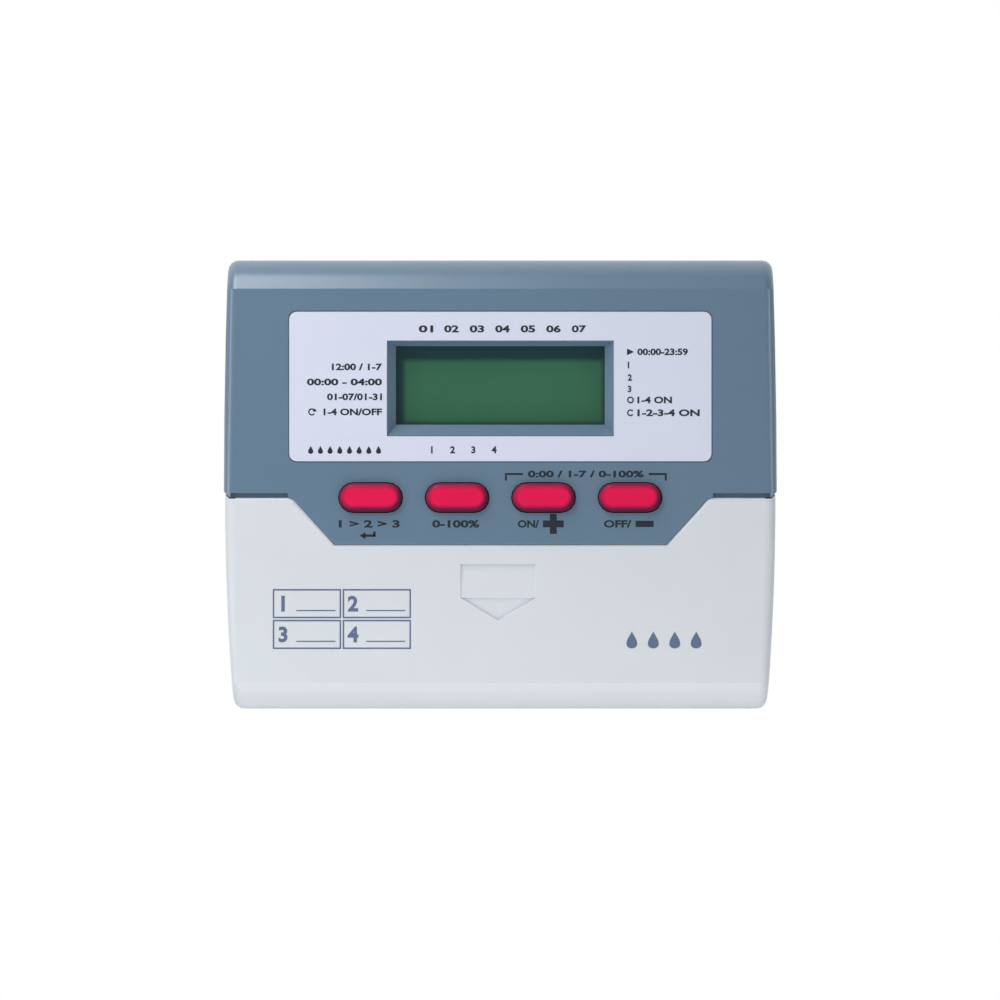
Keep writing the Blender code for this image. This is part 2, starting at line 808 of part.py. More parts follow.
def housing_bosses():
    """Screw posts of the housing, and the holes in them."""
    posts = []
    holes = []
    for x, z in board_screw_places():
        end = BOARD_FRONT + FIT_GAP
        posts.append(rod("board_post", x, z, BOSS_RADIUS, (end, FRONT_INSIDE + BURIED), SCREW_SIDES))
        depths = (end - BURIED, end + BOARD_SCREW_BITE + BURIED)
        holes.append(rod("board_hole", x, z, BOARD_SHANK_RADIUS + SHANK_GAP, depths, SCREW_SIDES))
    for x, z in case_screw_places()[:2]:
        posts.append(rod("case_post", x, z, BOSS_RADIUS, (SHELL_BACK, FRONT_INSIDE + BURIED), SCREW_SIDES))
        holes.append(case_screw_hole(x, z))
    return posts, holes


def case_screw_hole(x, z):
    """Hole that takes the end of a case screw."""
    depths = (SHELL_BACK - BURIED, SHELL_BACK + CASE_SCREW_BITE + BURIED)
    return rod("case_hole", x, z, CASE_SHANK_RADIUS + SHANK_GAP, depths, SCREW_SIDES)


def window_tools():
    """The rim behind the display opening, and the sloped opening itself."""
    wide = WINDOW_WIDTH + 2 * BEZEL_SIDE
    floor = FRONT - BEZEL_DEPTH
    rim = block("window_rim", span(0, wide + 2 * BEZEL_RIM), (floor - BEZEL_LAND, FRONT_INSIDE + BURIED),
                (BEZEL_ZS[0] - BEZEL_RIM, BEZEL_ZS[1] + BEZEL_RIM))
    back = (span(0, WINDOW_WIDTH), WINDOW_ZS)
    run = (BEZEL_DEPTH + BURIED) / BEZEL_DEPTH
    front = (span(0, WINDOW_WIDTH + 2 * BEZEL_SIDE * run),
             (WINDOW_ZS[0] - BEZEL_BOTTOM * run, WINDOW_ZS[1] + BEZEL_TOP * run))
    slope = tapered_block("window_slope", back, front, (floor, FRONT + BURIED))
    through = block("window_through", span(0, WINDOW_WIDTH), (floor - OVERRUN, FRONT), WINDOW_ZS)
    return rim, slope, through


def key_openings():
    """Tools that cut the openings for the keys."""
    tools = []
    for index in range(len(KEY_NAMES)):
        outline = stadium(key_x(index), KEY_Z, KEY_LENGTH + 2 * FIT_GAP, KEY_HEIGHT + 2 * FIT_GAP)
        tools.append(front_prism("key_opening", outline, FRONT_INSIDE - BURIED, FRONT + BURIED))
    return tools


def label_recess():
    """Tool that sinks the shallow seat of the label."""
    size = (LABEL_WIDTH + 2 * FIT_GAP, LABEL_HEIGHT + 2 * FIT_GAP)
    outline = rounded_rectangle(0, LABEL_Z, *size, LABEL_CORNER)
    return front_prism("label_recess", outline, FRONT - LABEL_RECESS, FRONT + OVERRUN)


def front_housing():
    """Upper front shell with the display opening, the key openings and the button bay."""
    shell = front_prism("front_housing", housing_outline(), SHELL_BACK, FRONT + OVERRUN)
    shell = overlap(shell, side_prism("housing_profile", housing_profile(), CASE_WIDTH))
    shell = round_edges(shell, is_outer_side_edge, SIDE_ROUND, 4)
    shell = round_edges(shell, is_seam_edge, SEAM_EDGE, 2)
    shell = cut(shell, *housing_seam(), *housing_cavity())
    posts, holes = housing_bosses()
    rim, slope, through = window_tools()
    shell = join(shell, rim, *posts)
    shell = cut(shell, label_recess(), slope, through, *holes, *key_openings())
    return finish(shell, housing_plastic())


def cover_ribs():
    """Pairs of ribs inside the cover that run along the deck's side tongues."""
    ribs = []
    inner = TONGUE_HALF - RIB_BITE
    zs = steps(DECK_LOW + RIB_SHORT, SEAM_Z - RIB_SHORT, SIDE_STEPS)
    right = [(inner, zs[0]), *[(cover_inside(z) + WALL / 2, z) for z in zs], (inner, zs[-1])]
    left = [(-x, z) for x, z in reversed(right)]
    for outline in (right, left):
        for back in (DECK_FRONT + SEAM_GAP, DECK_BACK - SEAM_GAP - RIB_THICK):
            ribs.append(front_prism("rib", outline, back, back + RIB_THICK))
    return ribs


def cover_grip():
    """Tools that sink the thumb grip: a wedge-shaped patch above a downward arrow."""
    left = GRIP_OFFSET - GRIP_WIDTH / 2
    right = GRIP_OFFSET + GRIP_WIDTH / 2
    top = SEAM_Z - GRIP_DROP
    low = top - GRIP_HEIGHT
    wedge = block("grip_wedge", (left, right), (FRONT - GRIP_DEEP, FRONT + BURIED), (low, top))
    for vert in wedge.data.vertices:
        if vert.co.z < (low + top) / 2 and -vert.co.y < FRONT:
            vert.co.y = -(FRONT - GRIP_SHALLOW)
    arrow = [(left, low), (GRIP_OFFSET, low - GRIP_POINT), (right, low)]
    return wedge, front_prism("grip_arrow", arrow, FRONT - GRIP_DEEP, FRONT + BURIED)


def terminal_cover():
    """Lower front cover that slides down off the terminals."""
    shell = front_prism("terminal_cover", cover_outline(), SHELL_BACK, FRONT + OVERRUN)
    shell = overlap(shell, side_prism("cover_profile", cover_profile(), CASE_WIDTH))
    shell = cut(round_edges(shell, is_outer_side_edge, SIDE_ROUND, 4), seam_room())
    shell = round_edges(shell, is_seam_edge, COVER_EDGE, 3)
    zs = steps(BOTTOM_Z, SEAM_Z, SIDE_STEPS)
    right = [(cover_inside(BOTTOM_Z), BOTTOM_Z - OVERRUN), *[(cover_inside(z), z) for z in zs]]
    right.append((cover_inside(SEAM_Z), SEAM_Z + OVERRUN))
    hollow = front_prism("cover_hollow", mirrored(right), SHELL_BACK - OVERRUN, FRONT + OVERRUN)
    hollow = overlap(hollow, side_prism("cover_hollow_profile", cover_profile(WALL), CASE_WIDTH))
    shell = cut(shell, hollow, *cover_grip())
    return finish(join(shell, *cover_ribs()), cover_plastic(), (0, -FRONT, SEAM_Z))


def keyhole(x, z):
    """Outline of a keyhole: a round entry with a narrow neck above it."""
    turn = math.asin(KEYHOLE_NECK / KEYHOLE_RADIUS)
    entry = arc((x, z), KEYHOLE_RADIUS, math.pi / 2 + turn, 5 * math.pi / 2 - turn, 20)
    neck = arc((x, z + KEYHOLE_LENGTH), KEYHOLE_NECK, 0, math.pi, 8)
    return entry + neck


def rear_outline():
    """Front outline of the rear case: the case outline drawn in, with round corners."""
    zs = steps(BOTTOM_Z + REAR_INSET, TOP_Z - REAR_INSET, SIDE_STEPS * 2)
    side = [(half_width(z) - REAR_INSET, z) for z in zs]
    low = round_corner((-side[0][0], zs[0]), side[0], side[1], SIDE_ROUND, 4)
    high = round_corner(side[-2], side[-1], (-side[-1][0], zs[-1]), SIDE_ROUND, 4)
    return mirrored([*low, *side[1:-1], *high])


def wall_fixings():
    """Tools that cut the two keyholes and the lower screw hole in the back wall."""
    depths = (-BURIED, BACK_WALL + BURIED)
    tools = [rod("fixing", 0, BOTTOM_Z + FIXING_RISE, FIXING_RADIUS, depths, SCREW_SIDES)]
    for x in span(0, KEYHOLE_SPACING):
        tools.append(front_prism("keyhole", keyhole(x, TOP_Z - KEYHOLE_DROP), *depths))
    return tools


def rear_case():
    """Shallow rear tray with wall fixings, screw posts and the cable entry."""
    outline = rear_outline()
    tray = front_prism("rear_case", outline, 0, REAR_DEPTH)
    tray = round_edges(tray, lambda edge: on_depth(edge, 0), REAR_EDGE, 2)
    tray = cut(tray, front_prism("tray_hollow", inset(outline, WALL), BACK_WALL, REAR_DEPTH + OVERRUN))
    top = SHELL_BACK - FIT_GAP
    places = case_screw_places()
    tray = join(tray, *[rod("post", x, z, REAR_BOSS_RADIUS, (BACK_WALL - BURIED, top)) for x, z in places])
    tools = wall_fixings()
    for x, z in places:
        tools.append(rod("hole", x, z, CASE_SHANK_RADIUS + FIT_GAP, (-BURIED, top + BURIED), SCREW_SIDES))
        radius = CASE_HEAD_RADIUS + HEAD_CLEARANCE
        tools.append(rod("sink", x, z, radius, (-BURIED, COUNTERBORE_DEPTH), SCREW_SIDES))
    entry = stadium(TERMINAL_X, entry_depth(), ENTRY_LENGTH, ENTRY_HEIGHT)
    tools.append(plan_prism("entry", entry, BOTTOM_Z - BURIED, BOTTOM_Z + REAR_INSET + WALL + BURIED))
    return finish(cut(tray, *tools), housing_plastic())


def entry_depth():
    """Depth of the middle of the cable entry."""
    return (BACK_WALL + REAR_DEPTH) / 2


def cable_grommet():
    """Rubber lining of the cable entry, with a lip on each side of the wall."""
    outer = BOTTOM_Z + REAR_INSET
    lip = GROMMET_LIP + GLUE_GAP
    depth = entry_depth()
    size = (ENTRY_LENGTH - 2 * GLUE_GAP, ENTRY_HEIGHT - 2 * GLUE_GAP)
    outline = stadium(TERMINAL_X, depth, *size)
    body = plan_prism("cable_grommet", outline, outer - lip, outer + WALL + lip)
    wide = [length + 2 * GROMMET_FLANGE for length in size]
    lips = [
        plan_prism("lip", stadium(TERMINAL_X, depth, *wide), low, low + GROMMET_LIP)
        for low in (outer - lip, outer + WALL + GLUE_GAP)
    ]
    narrow = [length - 2 * GROMMET_LINING for length in size]
    way = plan_prism("way", stadium(TERMINAL_X, depth, *narrow), outer - OVERRUN, outer + OVERRUN)
    return finish(cut(join(body, *lips), way), soft_rubber())


def deck_outline():
    """Front outline of the deck: side tongues, a step under the bay and a notch for the wires."""
    step = BAY_TOP_HALF + BAY_CORNER
    notch = TERMINAL_LOW - FIT_GAP
    well = WELL_LEFT - WELL_WALL - FIT_GAP
    return [
        (-TONGUE_HALF, DECK_LOW), (NOTCH_LEFT, DECK_LOW), (NOTCH_LEFT, notch), (well, notch),
        (well, DECK_LOW), (TONGUE_HALF, DECK_LOW), (TONGUE_HALF, DECK_HIGH), (step, DECK_HIGH),
        (step, BOARD_STEP),
        (-step, BOARD_STEP), (-step, DECK_HIGH), (-TONGUE_HALF, DECK_HIGH),
    ]


def lead_hole_place():
    """Where the battery leads pass through the deck."""
    return TAB_RIGHT - LEAD_HOLE_RADIUS - BOSS_SPACE, BAY_Z - LEAD_HOLE_RADIUS - WALL


def deck_supports():
    """What stands behind the deck's plate: screw posts, side skirts and the battery well's walls."""
    edge = TONGUE_HALF - RIB_BITE - SEAM_GAP
    behind = (SHELL_BACK, DECK_BACK + BURIED)
    tools = []
    for s, (x, z) in zip((-1, 1), case_screw_places()[2:]):
        tools.append(rod("post", x, z, BOSS_RADIUS, behind, SCREW_SIDES))
        xs = sorted((s * edge, s * (edge - WELL_WALL)))
        zs = (DECK_LOW + FIT_GAP, DECK_HIGH - FIT_GAP)
        tools.append(block("skirt", xs, (SHELL_BACK + FIT_GAP, DECK_BACK + BURIED), zs))
    xs = (WELL_LEFT - WELL_WALL, WELL_RIGHT + WELL_WALL)
    zs = (WELL_LOW - WELL_WALL + FIT_GAP, WELL_HIGH + WELL_WALL)
    tools.append(block("well", xs, (WELL_FLOOR - WELL_WALL, DECK_FRONT - BURIED), zs))
    return tools


def deck_openings():
    """Tools that cut the battery space, the terminal opening, the lead hole and the screw holes."""
    through = (DECK_BACK - BURIED, DECK_FRONT + BURIED)
    lead_x, lead_z = lead_hole_place()
    xs = (TERMINAL_LEFT - SEAM_GAP, TERMINAL_RIGHT + SEAM_GAP)
    return [
        block("battery_space", (WELL_LEFT, WELL_RIGHT), (WELL_FLOOR, FRONT), (WELL_LOW, WELL_HIGH)),
        block("terminal_space", xs, through, (TERMINAL_LOW - WALL, TERMINAL_HIGH + SEAM_GAP)),
        rod("lead_hole", lead_x, lead_z, LEAD_HOLE_RADIUS, through, SCREW_SIDES),
        *[case_screw_hole(x, z) for x, z in case_screw_places()[2:]],
    ]


def terminal_deck():
    """Inner deck that frames the terminals, holds the battery and guides the cover."""
    deck = front_prism("terminal_deck", deck_outline(), DECK_BACK, DECK_FRONT)
    deck = cut(join(deck, *deck_supports()), *deck_openings())
    return finish(deck, housing_plastic())


def front_label():
    """Printed film round the display opening."""
    back = FRONT - LABEL_RECESS + GLUE_GAP
    outline = rounded_rectangle(0, LABEL_Z, LABEL_WIDTH, LABEL_HEIGHT, LABEL_CORNER)
    film = front_prism("front_label", outline, back, back + LABEL_THICK)
    xs = span(0, WINDOW_WIDTH + 2 * BEZEL_SIDE)
    opening = block("opening", xs, (back - BURIED, FRONT + BURIED), BEZEL_ZS)
    return finish(cut(film, opening), label_film())


def display_window():
    """Clear plate seated behind the sloped bezel."""
    plate = block("display_window", span(0, WINDOW_WIDTH + 2 * LENS_LAP), (LENS_BACK, LENS_FRONT),
                  span(LABEL_Z, WINDOW_HEIGHT + 2 * LENS_LAP))
    return finish(plate, clear_window())


def lcd_glass():
    """Display cell behind the window."""
    wide, tall = LCD_HALF
    cell = block("lcd_glass", (-wide, wide), (LCD_BACK, LCD_FRONT), (LABEL_Z - tall, LABEL_Z + tall))
    return finish(cell, display_glass())


def lcd_holder():
    """Frame that holds the display over the board, open behind for the contact strips."""
    rim = LCD_FRONT - FIT_GAP
    wide, tall = HOLDER_HALF
    frame = block("lcd_holder", (-wide, wide), (ON_BOARD, rim), (LABEL_Z - tall, LABEL_Z + tall))
    zs = span(LABEL_Z, 2 * (LCD_HALF[1] + FIT_GAP))
    pocket = block("pocket", span(0, 2 * (LCD_HALF[0] + FIT_GAP)), (LCD_BACK - FIT_GAP, rim + BURIED), zs)
    way = block("way", span(0, 2 * (LCD_HALF[0] - HOLDER_LEDGE)), (ON_BOARD - BURIED, rim), zs)
    return finish(cut(frame, pocket, way), holder_plastic())


def contact_strip(name, side):
    """Rubber strip that joins the display's contacts to the board."""
    length = 2 * (LCD_HALF[0] - HOLDER_LEDGE) - STRIP_SHORT
    middle = LABEL_Z + side * (LCD_HALF[1] - STRIP_THICK / 2)
    strip = block(name, span(0, length), (ON_BOARD, LCD_BACK - GLUE_GAP), span(middle, STRIP_THICK))
    return finish(strip, elastomer())


def main_board():
    """Circuit board: a full-width upper part and a tab that carries the terminals."""
    low = TERMINAL_LOW - BOARD_LIP
    outline = [
        (-BOARD_HALF, low), (TAB_RIGHT, low), (TAB_RIGHT, BOARD_STEP), (BOARD_HALF, BOARD_STEP),
        (BOARD_HALF, BOARD_TOP), (-BOARD_HALF, BOARD_TOP),
    ]
    board = front_prism("main_board", outline, BOARD_BACK, BOARD_FRONT)
    depths = (BOARD_BACK - BURIED, BOARD_FRONT + BURIED)
    radius = BOARD_SHANK_RADIUS + FIT_GAP
    holes = [rod("hole", x, z, radius, depths, SCREW_SIDES) for x, z in board_screw_places()]
    return finish(cut(board, *holes), board_laminate())


def keys():
    """Four oval keys, each with a flange behind the housing and a post over its switch."""
    x = key_x(0)
    seat = FRONT_INSIDE - FIT_GAP
    crown = FRONT + KEY_RISE
    cap = front_prism("key", stadium(x, KEY_Z, KEY_LENGTH, KEY_HEIGHT), seat - BURIED, crown)
    cap = round_edges(cap, lambda edge: on_depth(edge, crown), KEY_EDGE, 4)
    flange = stadium(x, KEY_Z, KEY_LENGTH + 2 * KEY_FLANGE, KEY_HEIGHT + 2 * KEY_FLANGE)
    back = seat - KEY_FLANGE_THICK
    post = rod("post", x, KEY_Z, KEY_POST_RADIUS, (PLUNGER_TOP + GLUE_GAP, back + BURIED), SCREW_SIDES)
    cap = join(cap, front_prism("flange", flange, back, seat), post)
    return per_key(finish(cap, key_plastic(), (x, -FRONT, KEY_Z), f"{KEY_NAMES[0]}_key"), "key")


def switch_bodies():
    """Four push switches on the board, each with a bore for its plunger."""
    x = key_x(0)
    body = block("switch", span(x, SWITCH_SIZE), (ON_BOARD, SWITCH_TOP), span(KEY_Z, SWITCH_SIZE))
    floor = SWITCH_TOP - PLUNGER_SINK - KEY_TRAVEL - FIT_GAP
    bore = rod("bore", x, KEY_Z, PLUNGER_RADIUS + FIT_GAP, (floor, SWITCH_TOP + BURIED), SCREW_SIDES)
    body = finish(cut(body, bore), dark_plastic(), (x, -ON_BOARD, KEY_Z), f"{KEY_NAMES[0]}_switch")
    return per_key(body, "switch")


def switch_plungers():
    """Four plungers that move with their keys."""
    x = key_x(0)
    depths = (SWITCH_TOP - PLUNGER_SINK, PLUNGER_TOP)
    stem = rod("plunger", x, KEY_Z, PLUNGER_RADIUS, depths, SCREW_SIDES)
    stem = finish(stem, holder_plastic(), (x, -PLUNGER_TOP, KEY_Z), f"{KEY_NAMES[0]}_plunger")
    return per_key(stem, "plunger")


def terminal_block():
    """Row of wire terminals: wire openings below and screw wells in front."""
    body = block("terminal_block", (TERMINAL_LEFT, TERMINAL_RIGHT), (ON_BOARD, TERMINAL_TOP),
                 (TERMINAL_LOW, TERMINAL_HIGH))
    tools = []
    low = ON_BOARD + WIRE_HOLE_LIFT
    for index in range(TERMINAL_COUNT):
        x = terminal_x(index)
        tools.append(block("wire_hole", span(x, WIRE_HOLE), (low, low + WIRE_HOLE),
                           (TERMINAL_LOW - BURIED, TERMINAL_LOW + WIRE_HOLE_LENGTH)))
        tools.append(rod("screw_well", x, clamp_z(), SCREW_WELL_RADIUS,
                         (TERMINAL_TOP - SCREW_WELL_DEPTH, TERMINAL_TOP + BURIED), SCREW_SIDES))
    return finish(cut(body, *tools), terminal_plastic())


def clamp_z():
    """Height of the row of clamp screws."""
    return (TERMINAL_LOW + TERMINAL_HIGH) / 2


def clamp_screws():
    """Slotted screws, one in each terminal."""
    z = clamp_z()
    places = [(terminal_x(i), z) for i in range(TERMINAL_COUNT)]
    x = places[0][0]
    neck = CLAMP_TOP - CLAMP_HEAD_HEIGHT
    screw = rod("clamp", x, z, CLAMP_HEAD_RADIUS, (neck, CLAMP_TOP), SCREW_SIDES)
    end = neck - CLAMP_SHANK_LENGTH + FIT_GAP
    screw = join(screw, rod("shank", x, z, CLAMP_SHANK_RADIUS, (end, neck + BURIED), SCREW_SIDES))
    depths = (CLAMP_TOP - CLAMP_SLOT_DEPTH, CLAMP_TOP + BURIED)
    screw = cut(screw, block("slot", span(x, OVERRUN), depths, span(z, CLAMP_SLOT_WIDTH)))
    screw = finish(screw, plated_steel(), (x, -CLAMP_TOP, z), "clamp_screw_1")
    return numbered(screw, "clamp_screw", places)


def runs_across(edge):
    """Whether an edge runs from side to side."""
    direction = edge.verts[1].co - edge.verts[0].co
    return abs(direction.x) > 0.9 * direction.length


def stud_rods(name, xs, radius):
    """Round solids on the axes of the battery's two studs."""
    zs = span(BATTERY_Z, STUD_SPACING)
    return [cross_rod(name, xs, BATTERY_MIDDLE, z, radius, SCREW_SIDES) for z in zs]


def battery():
    """Block battery with its two studs."""
    body = block("battery", (BATTERY_LEFT, BATTERY_RIGHT), (BATTERY_BACK, BATTERY_BACK + BATTERY_THICK),
                 span(BATTERY_Z, BATTERY_WIDTH))
    body = round_edges(body, runs_across, BATTERY_EDGE, 3)
    studs = stud_rods("stud", (BATTERY_LEFT - STUD_HEIGHT, BATTERY_LEFT + BURIED), STUD_RADIUS)
    return finish(join(body, *studs), battery_wrap())


def battery_snap():
    """Snap connector on the battery's studs."""
    right = BATTERY_LEFT - FIT_GAP
    body = block("battery_snap", (right - SNAP_THICK, right), span(BATTERY_MIDDLE, SNAP_WIDTH),
                 span(BATTERY_Z, SNAP_LENGTH))
    body = round_edges(body, runs_across, BATTERY_EDGE, 2)
    sockets = stud_rods("socket", (right - STUD_HEIGHT, right + BURIED), STUD_RADIUS + FIT_GAP)
    return finish(cut(body, *sockets), dark_plastic())


def battery_lead(name, side, surface):
    """Wire from the snap, over the well's rim and through the deck to the board."""
    hole_x, hole_z = lead_hole_place()
    shift = side * LEAD_SPACING / 2
    depth = DECK_FRONT + LEAD_LIFT + shift
    start_x = BATTERY_LEFT - FIT_GAP - SNAP_THICK / 2
    start_z = BATTERY_Z + SNAP_LENGTH / 2 + FIT_GAP
    rise_z = start_z + LEAD_HOLE_RADIUS
    end_x = hole_x - shift
    route = [
        (start_x, depth, start_z), (start_x, depth, rise_z),
        ((start_x + end_x) / 2, depth, (rise_z + hole_z) / 2),
        (end_x + LEAD_HOLE_RADIUS, depth, hole_z), (end_x, (depth + DECK_BACK) / 2, hole_z),
        (end_x, BOARD_FRONT + FIT_GAP, hole_z),
    ]
    curve = bpy.data.curves.new(name, "CURVE")
    curve.dimensions = "3D"
    curve.bevel_depth = LEAD_RADIUS
    curve.bevel_resolution = 2
    curve.resolution_u = 5
    curve.use_fill_caps = True
    spline = curve.splines.new("BEZIER")
    spline.bezier_points.add(len(route) - 1)
    for point, (x, depth, z) in zip(spline.bezier_points, route):
        point.co = (x, -depth, z)
        point.handle_left_type = "AUTO"
        point.handle_right_type = "AUTO"
    return finish(curve_solid(name, curve, Matrix()), surface)


def controller_chip():
    """Controller chip behind the display."""
    chip = block("controller_chip", span(0, CHIP_SIZE), (UNDER_BOARD - CHIP_THICK, UNDER_BOARD),
                 span(LABEL_Z, CHIP_SIZE))
    return finish(chip, dark_plastic())


def timing_crystal():
    """Oval clock crystal beside the chip."""
    outline = stadium(CHIP_SIZE / 2 + CRYSTAL_LENGTH, LABEL_Z, CRYSTAL_LENGTH, CRYSTAL_WIDTH, 6)
    can = front_prism("timing_crystal", outline, UNDER_BOARD - CRYSTAL_THICK, UNDER_BOARD)
    return finish(can, can_metal())


def smoothing_capacitor():
    """Upright capacitor of the power supply."""
    depths = (UNDER_BOARD - CAPACITOR_LENGTH, UNDER_BOARD)
    can = rod("smoothing_capacitor", -PART_PITCH, LABEL_Z, CAPACITOR_RADIUS, depths)
    can = round_edges(can, lambda edge: on_depth(edge, depths[0]), CAPACITOR_RADIUS / 8, 2)
    return finish(can, sleeve_blue())


def bridge_rectifier():
    """Rectifier of the power supply, with one corner cut off."""
    x = -PART_PITCH
    z = LABEL_Z - CAPACITOR_RADIUS - RECTIFIER_WIDTH
    half = (RECTIFIER_LENGTH / 2, RECTIFIER_WIDTH / 2)
    nick = RECTIFIER_WIDTH / 5
    outline = [
        (x - half[0], z - half[1]), (x + half[0], z - half[1]), (x + half[0], z + half[1] - nick),
        (x + half[0] - nick, z + half[1]), (x - half[0], z + half[1]),
    ]
    body = front_prism("bridge_rectifier", outline, UNDER_BOARD - RECTIFIER_THICK, UNDER_BOARD)
    return finish(body, dark_plastic())


def fuse_place():
    """Middle of the fuse across, its depth and its height."""
    return PART_PITCH, UNDER_BOARD - CLIP_THICK - FUSE_LIFT - FUSE_CAP_RADIUS, LABEL_Z + HOLDER_HALF[1]


def fuse():
    """Glass fuse with its two end caps."""
    x, depth, z = fuse_place()
    tube = cross_rod("fuse", span(x, FUSE_LENGTH - 2 * BURIED), depth, z, FUSE_RADIUS, SCREW_SIDES)
    caps = [
        cross_rod("cap", span(middle, FUSE_CAP_LENGTH), depth, z, FUSE_CAP_RADIUS, SCREW_SIDES)
        for middle in span(x, FUSE_LENGTH - FUSE_CAP_LENGTH)
    ]
    return finish(join(tube, *caps), fuse_glass())


def fuse_clip(name, side):
    """Spring clip round one cap of the fuse."""
    x, depth, z = fuse_place()
    middle = x + side * (FUSE_LENGTH - FUSE_CAP_LENGTH) / 2
    inner = 2 * (FUSE_CAP_RADIUS + GLUE_GAP)
    outer = inner + 2 * CLIP_THICK
    clip = block(name, span(middle, CLIP_WIDTH), (depth - FUSE_CAP_RADIUS, UNDER_BOARD), span(z, outer))
    floor = UNDER_BOARD - CLIP_THICK
    slot = block("slot", span(middle, CLIP_WIDTH + BURIED), (depth - OVERRUN, floor), span(z, inner))
    return finish(cut(clip, slot), plated_steel())


def valve_triacs():
    """One switching device for each valve, above the terminals."""
    z = TERMINAL_HIGH + WIRE_ROOM / 2
    places = [(terminal_x(TERMINAL_COUNT - TRIAC_COUNT + i), z) for i in range(TRIAC_COUNT)]
    x = places[0][0]
    outline = arc((x, z), TRIAC_RADIUS, -math.pi / 5, 6 * math.pi / 5, 10)
    body = front_prism("triac", outline, UNDER_BOARD - TRIAC_LENGTH, UNDER_BOARD)
    body = finish(body, dark_plastic(), (x, -UNDER_BOARD, z), "valve_triac_1")
    return numbered(body, "valve_triac", places)


def cross_screw(x, z, head, shank_radius, end):
    """Cross-headed screw: head given as (radius, back depth, height), shank running to an end depth."""
    radius, back, height = head
    neck = back + height
    screw = rod("screw", x, z, radius, (back, neck), SCREW_SIDES)
    screw = round_edges(screw, lambda edge: on_depth(edge, back), height / 3, 2)
    screw = join(screw, rod("shank", x, z, shank_radius, (neck - BURIED, end), SCREW_SIDES))
    depths = (back - BURIED, back + CROSS_DEPTH)
    bar = block("bar", span(x, CROSS_LENGTH), depths, span(z, CROSS_WIDTH))
    return cut(screw, bar, block("bar", span(x, CROSS_WIDTH), depths, span(z, CROSS_LENGTH)))


def case_screws():
    """Screws that hold the rear case to the housing and the deck."""
    places = case_screw_places()
    x, z = places[0]
    back = COUNTERBORE_DEPTH - FIT_GAP - CASE_HEAD_HEIGHT
    head = (CASE_HEAD_RADIUS, back, CASE_HEAD_HEIGHT)
    screw = cross_screw(x, z, head, CASE_SHANK_RADIUS, SHELL_BACK + CASE_SCREW_BITE)
    return numbered(finish(screw, plated_steel(), (x, -back, z), "case_screw_1"), "case_screw", places)


def board_screws():
    """Screws that hold the board to the housing's posts."""
    places = board_screw_places()
    x, z = places[0]
    back = BOARD_BACK - FIT_GAP - BOARD_HEAD_HEIGHT
    head = (BOARD_HEAD_RADIUS, back, BOARD_HEAD_HEIGHT)
    screw = cross_screw(x, z, head, BOARD_SHANK_RADIUS, BOARD_FRONT + FIT_GAP + BOARD_SCREW_BITE)
    return numbered(finish(screw, plated_steel(), (x, -back, z), "board_screw_1"), "board_screw", places)


def build():
    """Makes every piece, gathers them in one collection and hangs them on one empty."""
    clear_scene()
    pieces = [
        rear_case(), front_housing(), terminal_deck(), terminal_cover(), front_label(), display_window(),
        lcd_glass(), lcd_holder(), contact_strip("upper_contact_strip", 1),
        contact_strip("lower_contact_strip", -1), main_board(), *keys(), *switch_bodies(),
        *switch_plungers(), terminal_block(), *clamp_screws(), battery(), battery_snap(),
        battery_lead("battery_lead_plus", 1, red_insulation()),
        battery_lead("battery_lead_minus", -1, black_insulation()), controller_chip(), timing_crystal(),
        smoothing_capacitor(), bridge_rectifier(), fuse(), fuse_clip("fuse_clip_left", -1),
        fuse_clip("fuse_clip_right", 1), *valve_triacs(), cable_grommet(), *case_screws(), *board_screws(),
    ]
    group = bpy.data.collections.new(OBJECT_NAME)
    bpy.context.scene.collection.children.link(group)
    frame = bpy.data.objects.new(f"{OBJECT_NAME}_frame", None)
    group.objects.link(frame)
    for piece in pieces:
        bpy.context.scene.collection.objects.unlink(piece)
        group.objects.link(piece)
        piece.parent = frame


build()
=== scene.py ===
"""Looks of a wall-mounted irrigation controller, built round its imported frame.

Lengths are metres in the frame's axes: +Z is up, +X is right seen from the front, and the front faces -Y.
A depth is measured from the wall towards the front, so Y is minus the depth.
"""

import logging
import math
from dataclasses import dataclass, field
from enum import Enum
from typing import Any, ClassVar, Iterable, Sequence, Union

import bmesh
import bpy
from mathutils import Matrix, Vector


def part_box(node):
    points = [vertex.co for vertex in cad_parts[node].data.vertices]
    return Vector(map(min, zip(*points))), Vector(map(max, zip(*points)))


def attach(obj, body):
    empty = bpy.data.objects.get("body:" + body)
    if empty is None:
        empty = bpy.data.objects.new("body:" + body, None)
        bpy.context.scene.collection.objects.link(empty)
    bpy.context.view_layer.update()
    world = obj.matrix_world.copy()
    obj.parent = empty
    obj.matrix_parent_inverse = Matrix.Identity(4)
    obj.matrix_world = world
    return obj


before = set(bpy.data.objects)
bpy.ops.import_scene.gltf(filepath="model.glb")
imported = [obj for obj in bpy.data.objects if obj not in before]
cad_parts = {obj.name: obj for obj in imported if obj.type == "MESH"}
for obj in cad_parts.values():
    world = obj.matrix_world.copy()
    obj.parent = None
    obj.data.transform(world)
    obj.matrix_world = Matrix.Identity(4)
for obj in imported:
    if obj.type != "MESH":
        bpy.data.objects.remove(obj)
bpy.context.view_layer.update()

LOG = logging.getLogger("irrigation_controller")
MILLIMETRE = 0.001
JOIN_DISTANCE = 0.001 * MILLIMETRE
EDGE_STEPS = 2
ROUND_PROFILE = 0.5
WHITE = (1.0, 1.0, 1.0, 1.0)

Point = tuple[float, float]
Span = tuple[float, float]
Feed = Union[bpy.types.NodeSocket, float, Sequence[float]]


class Body(str, Enum):
    """Bodies of the frame that added pieces ride on."""

    CASE = "case"
    COVER = "cover"


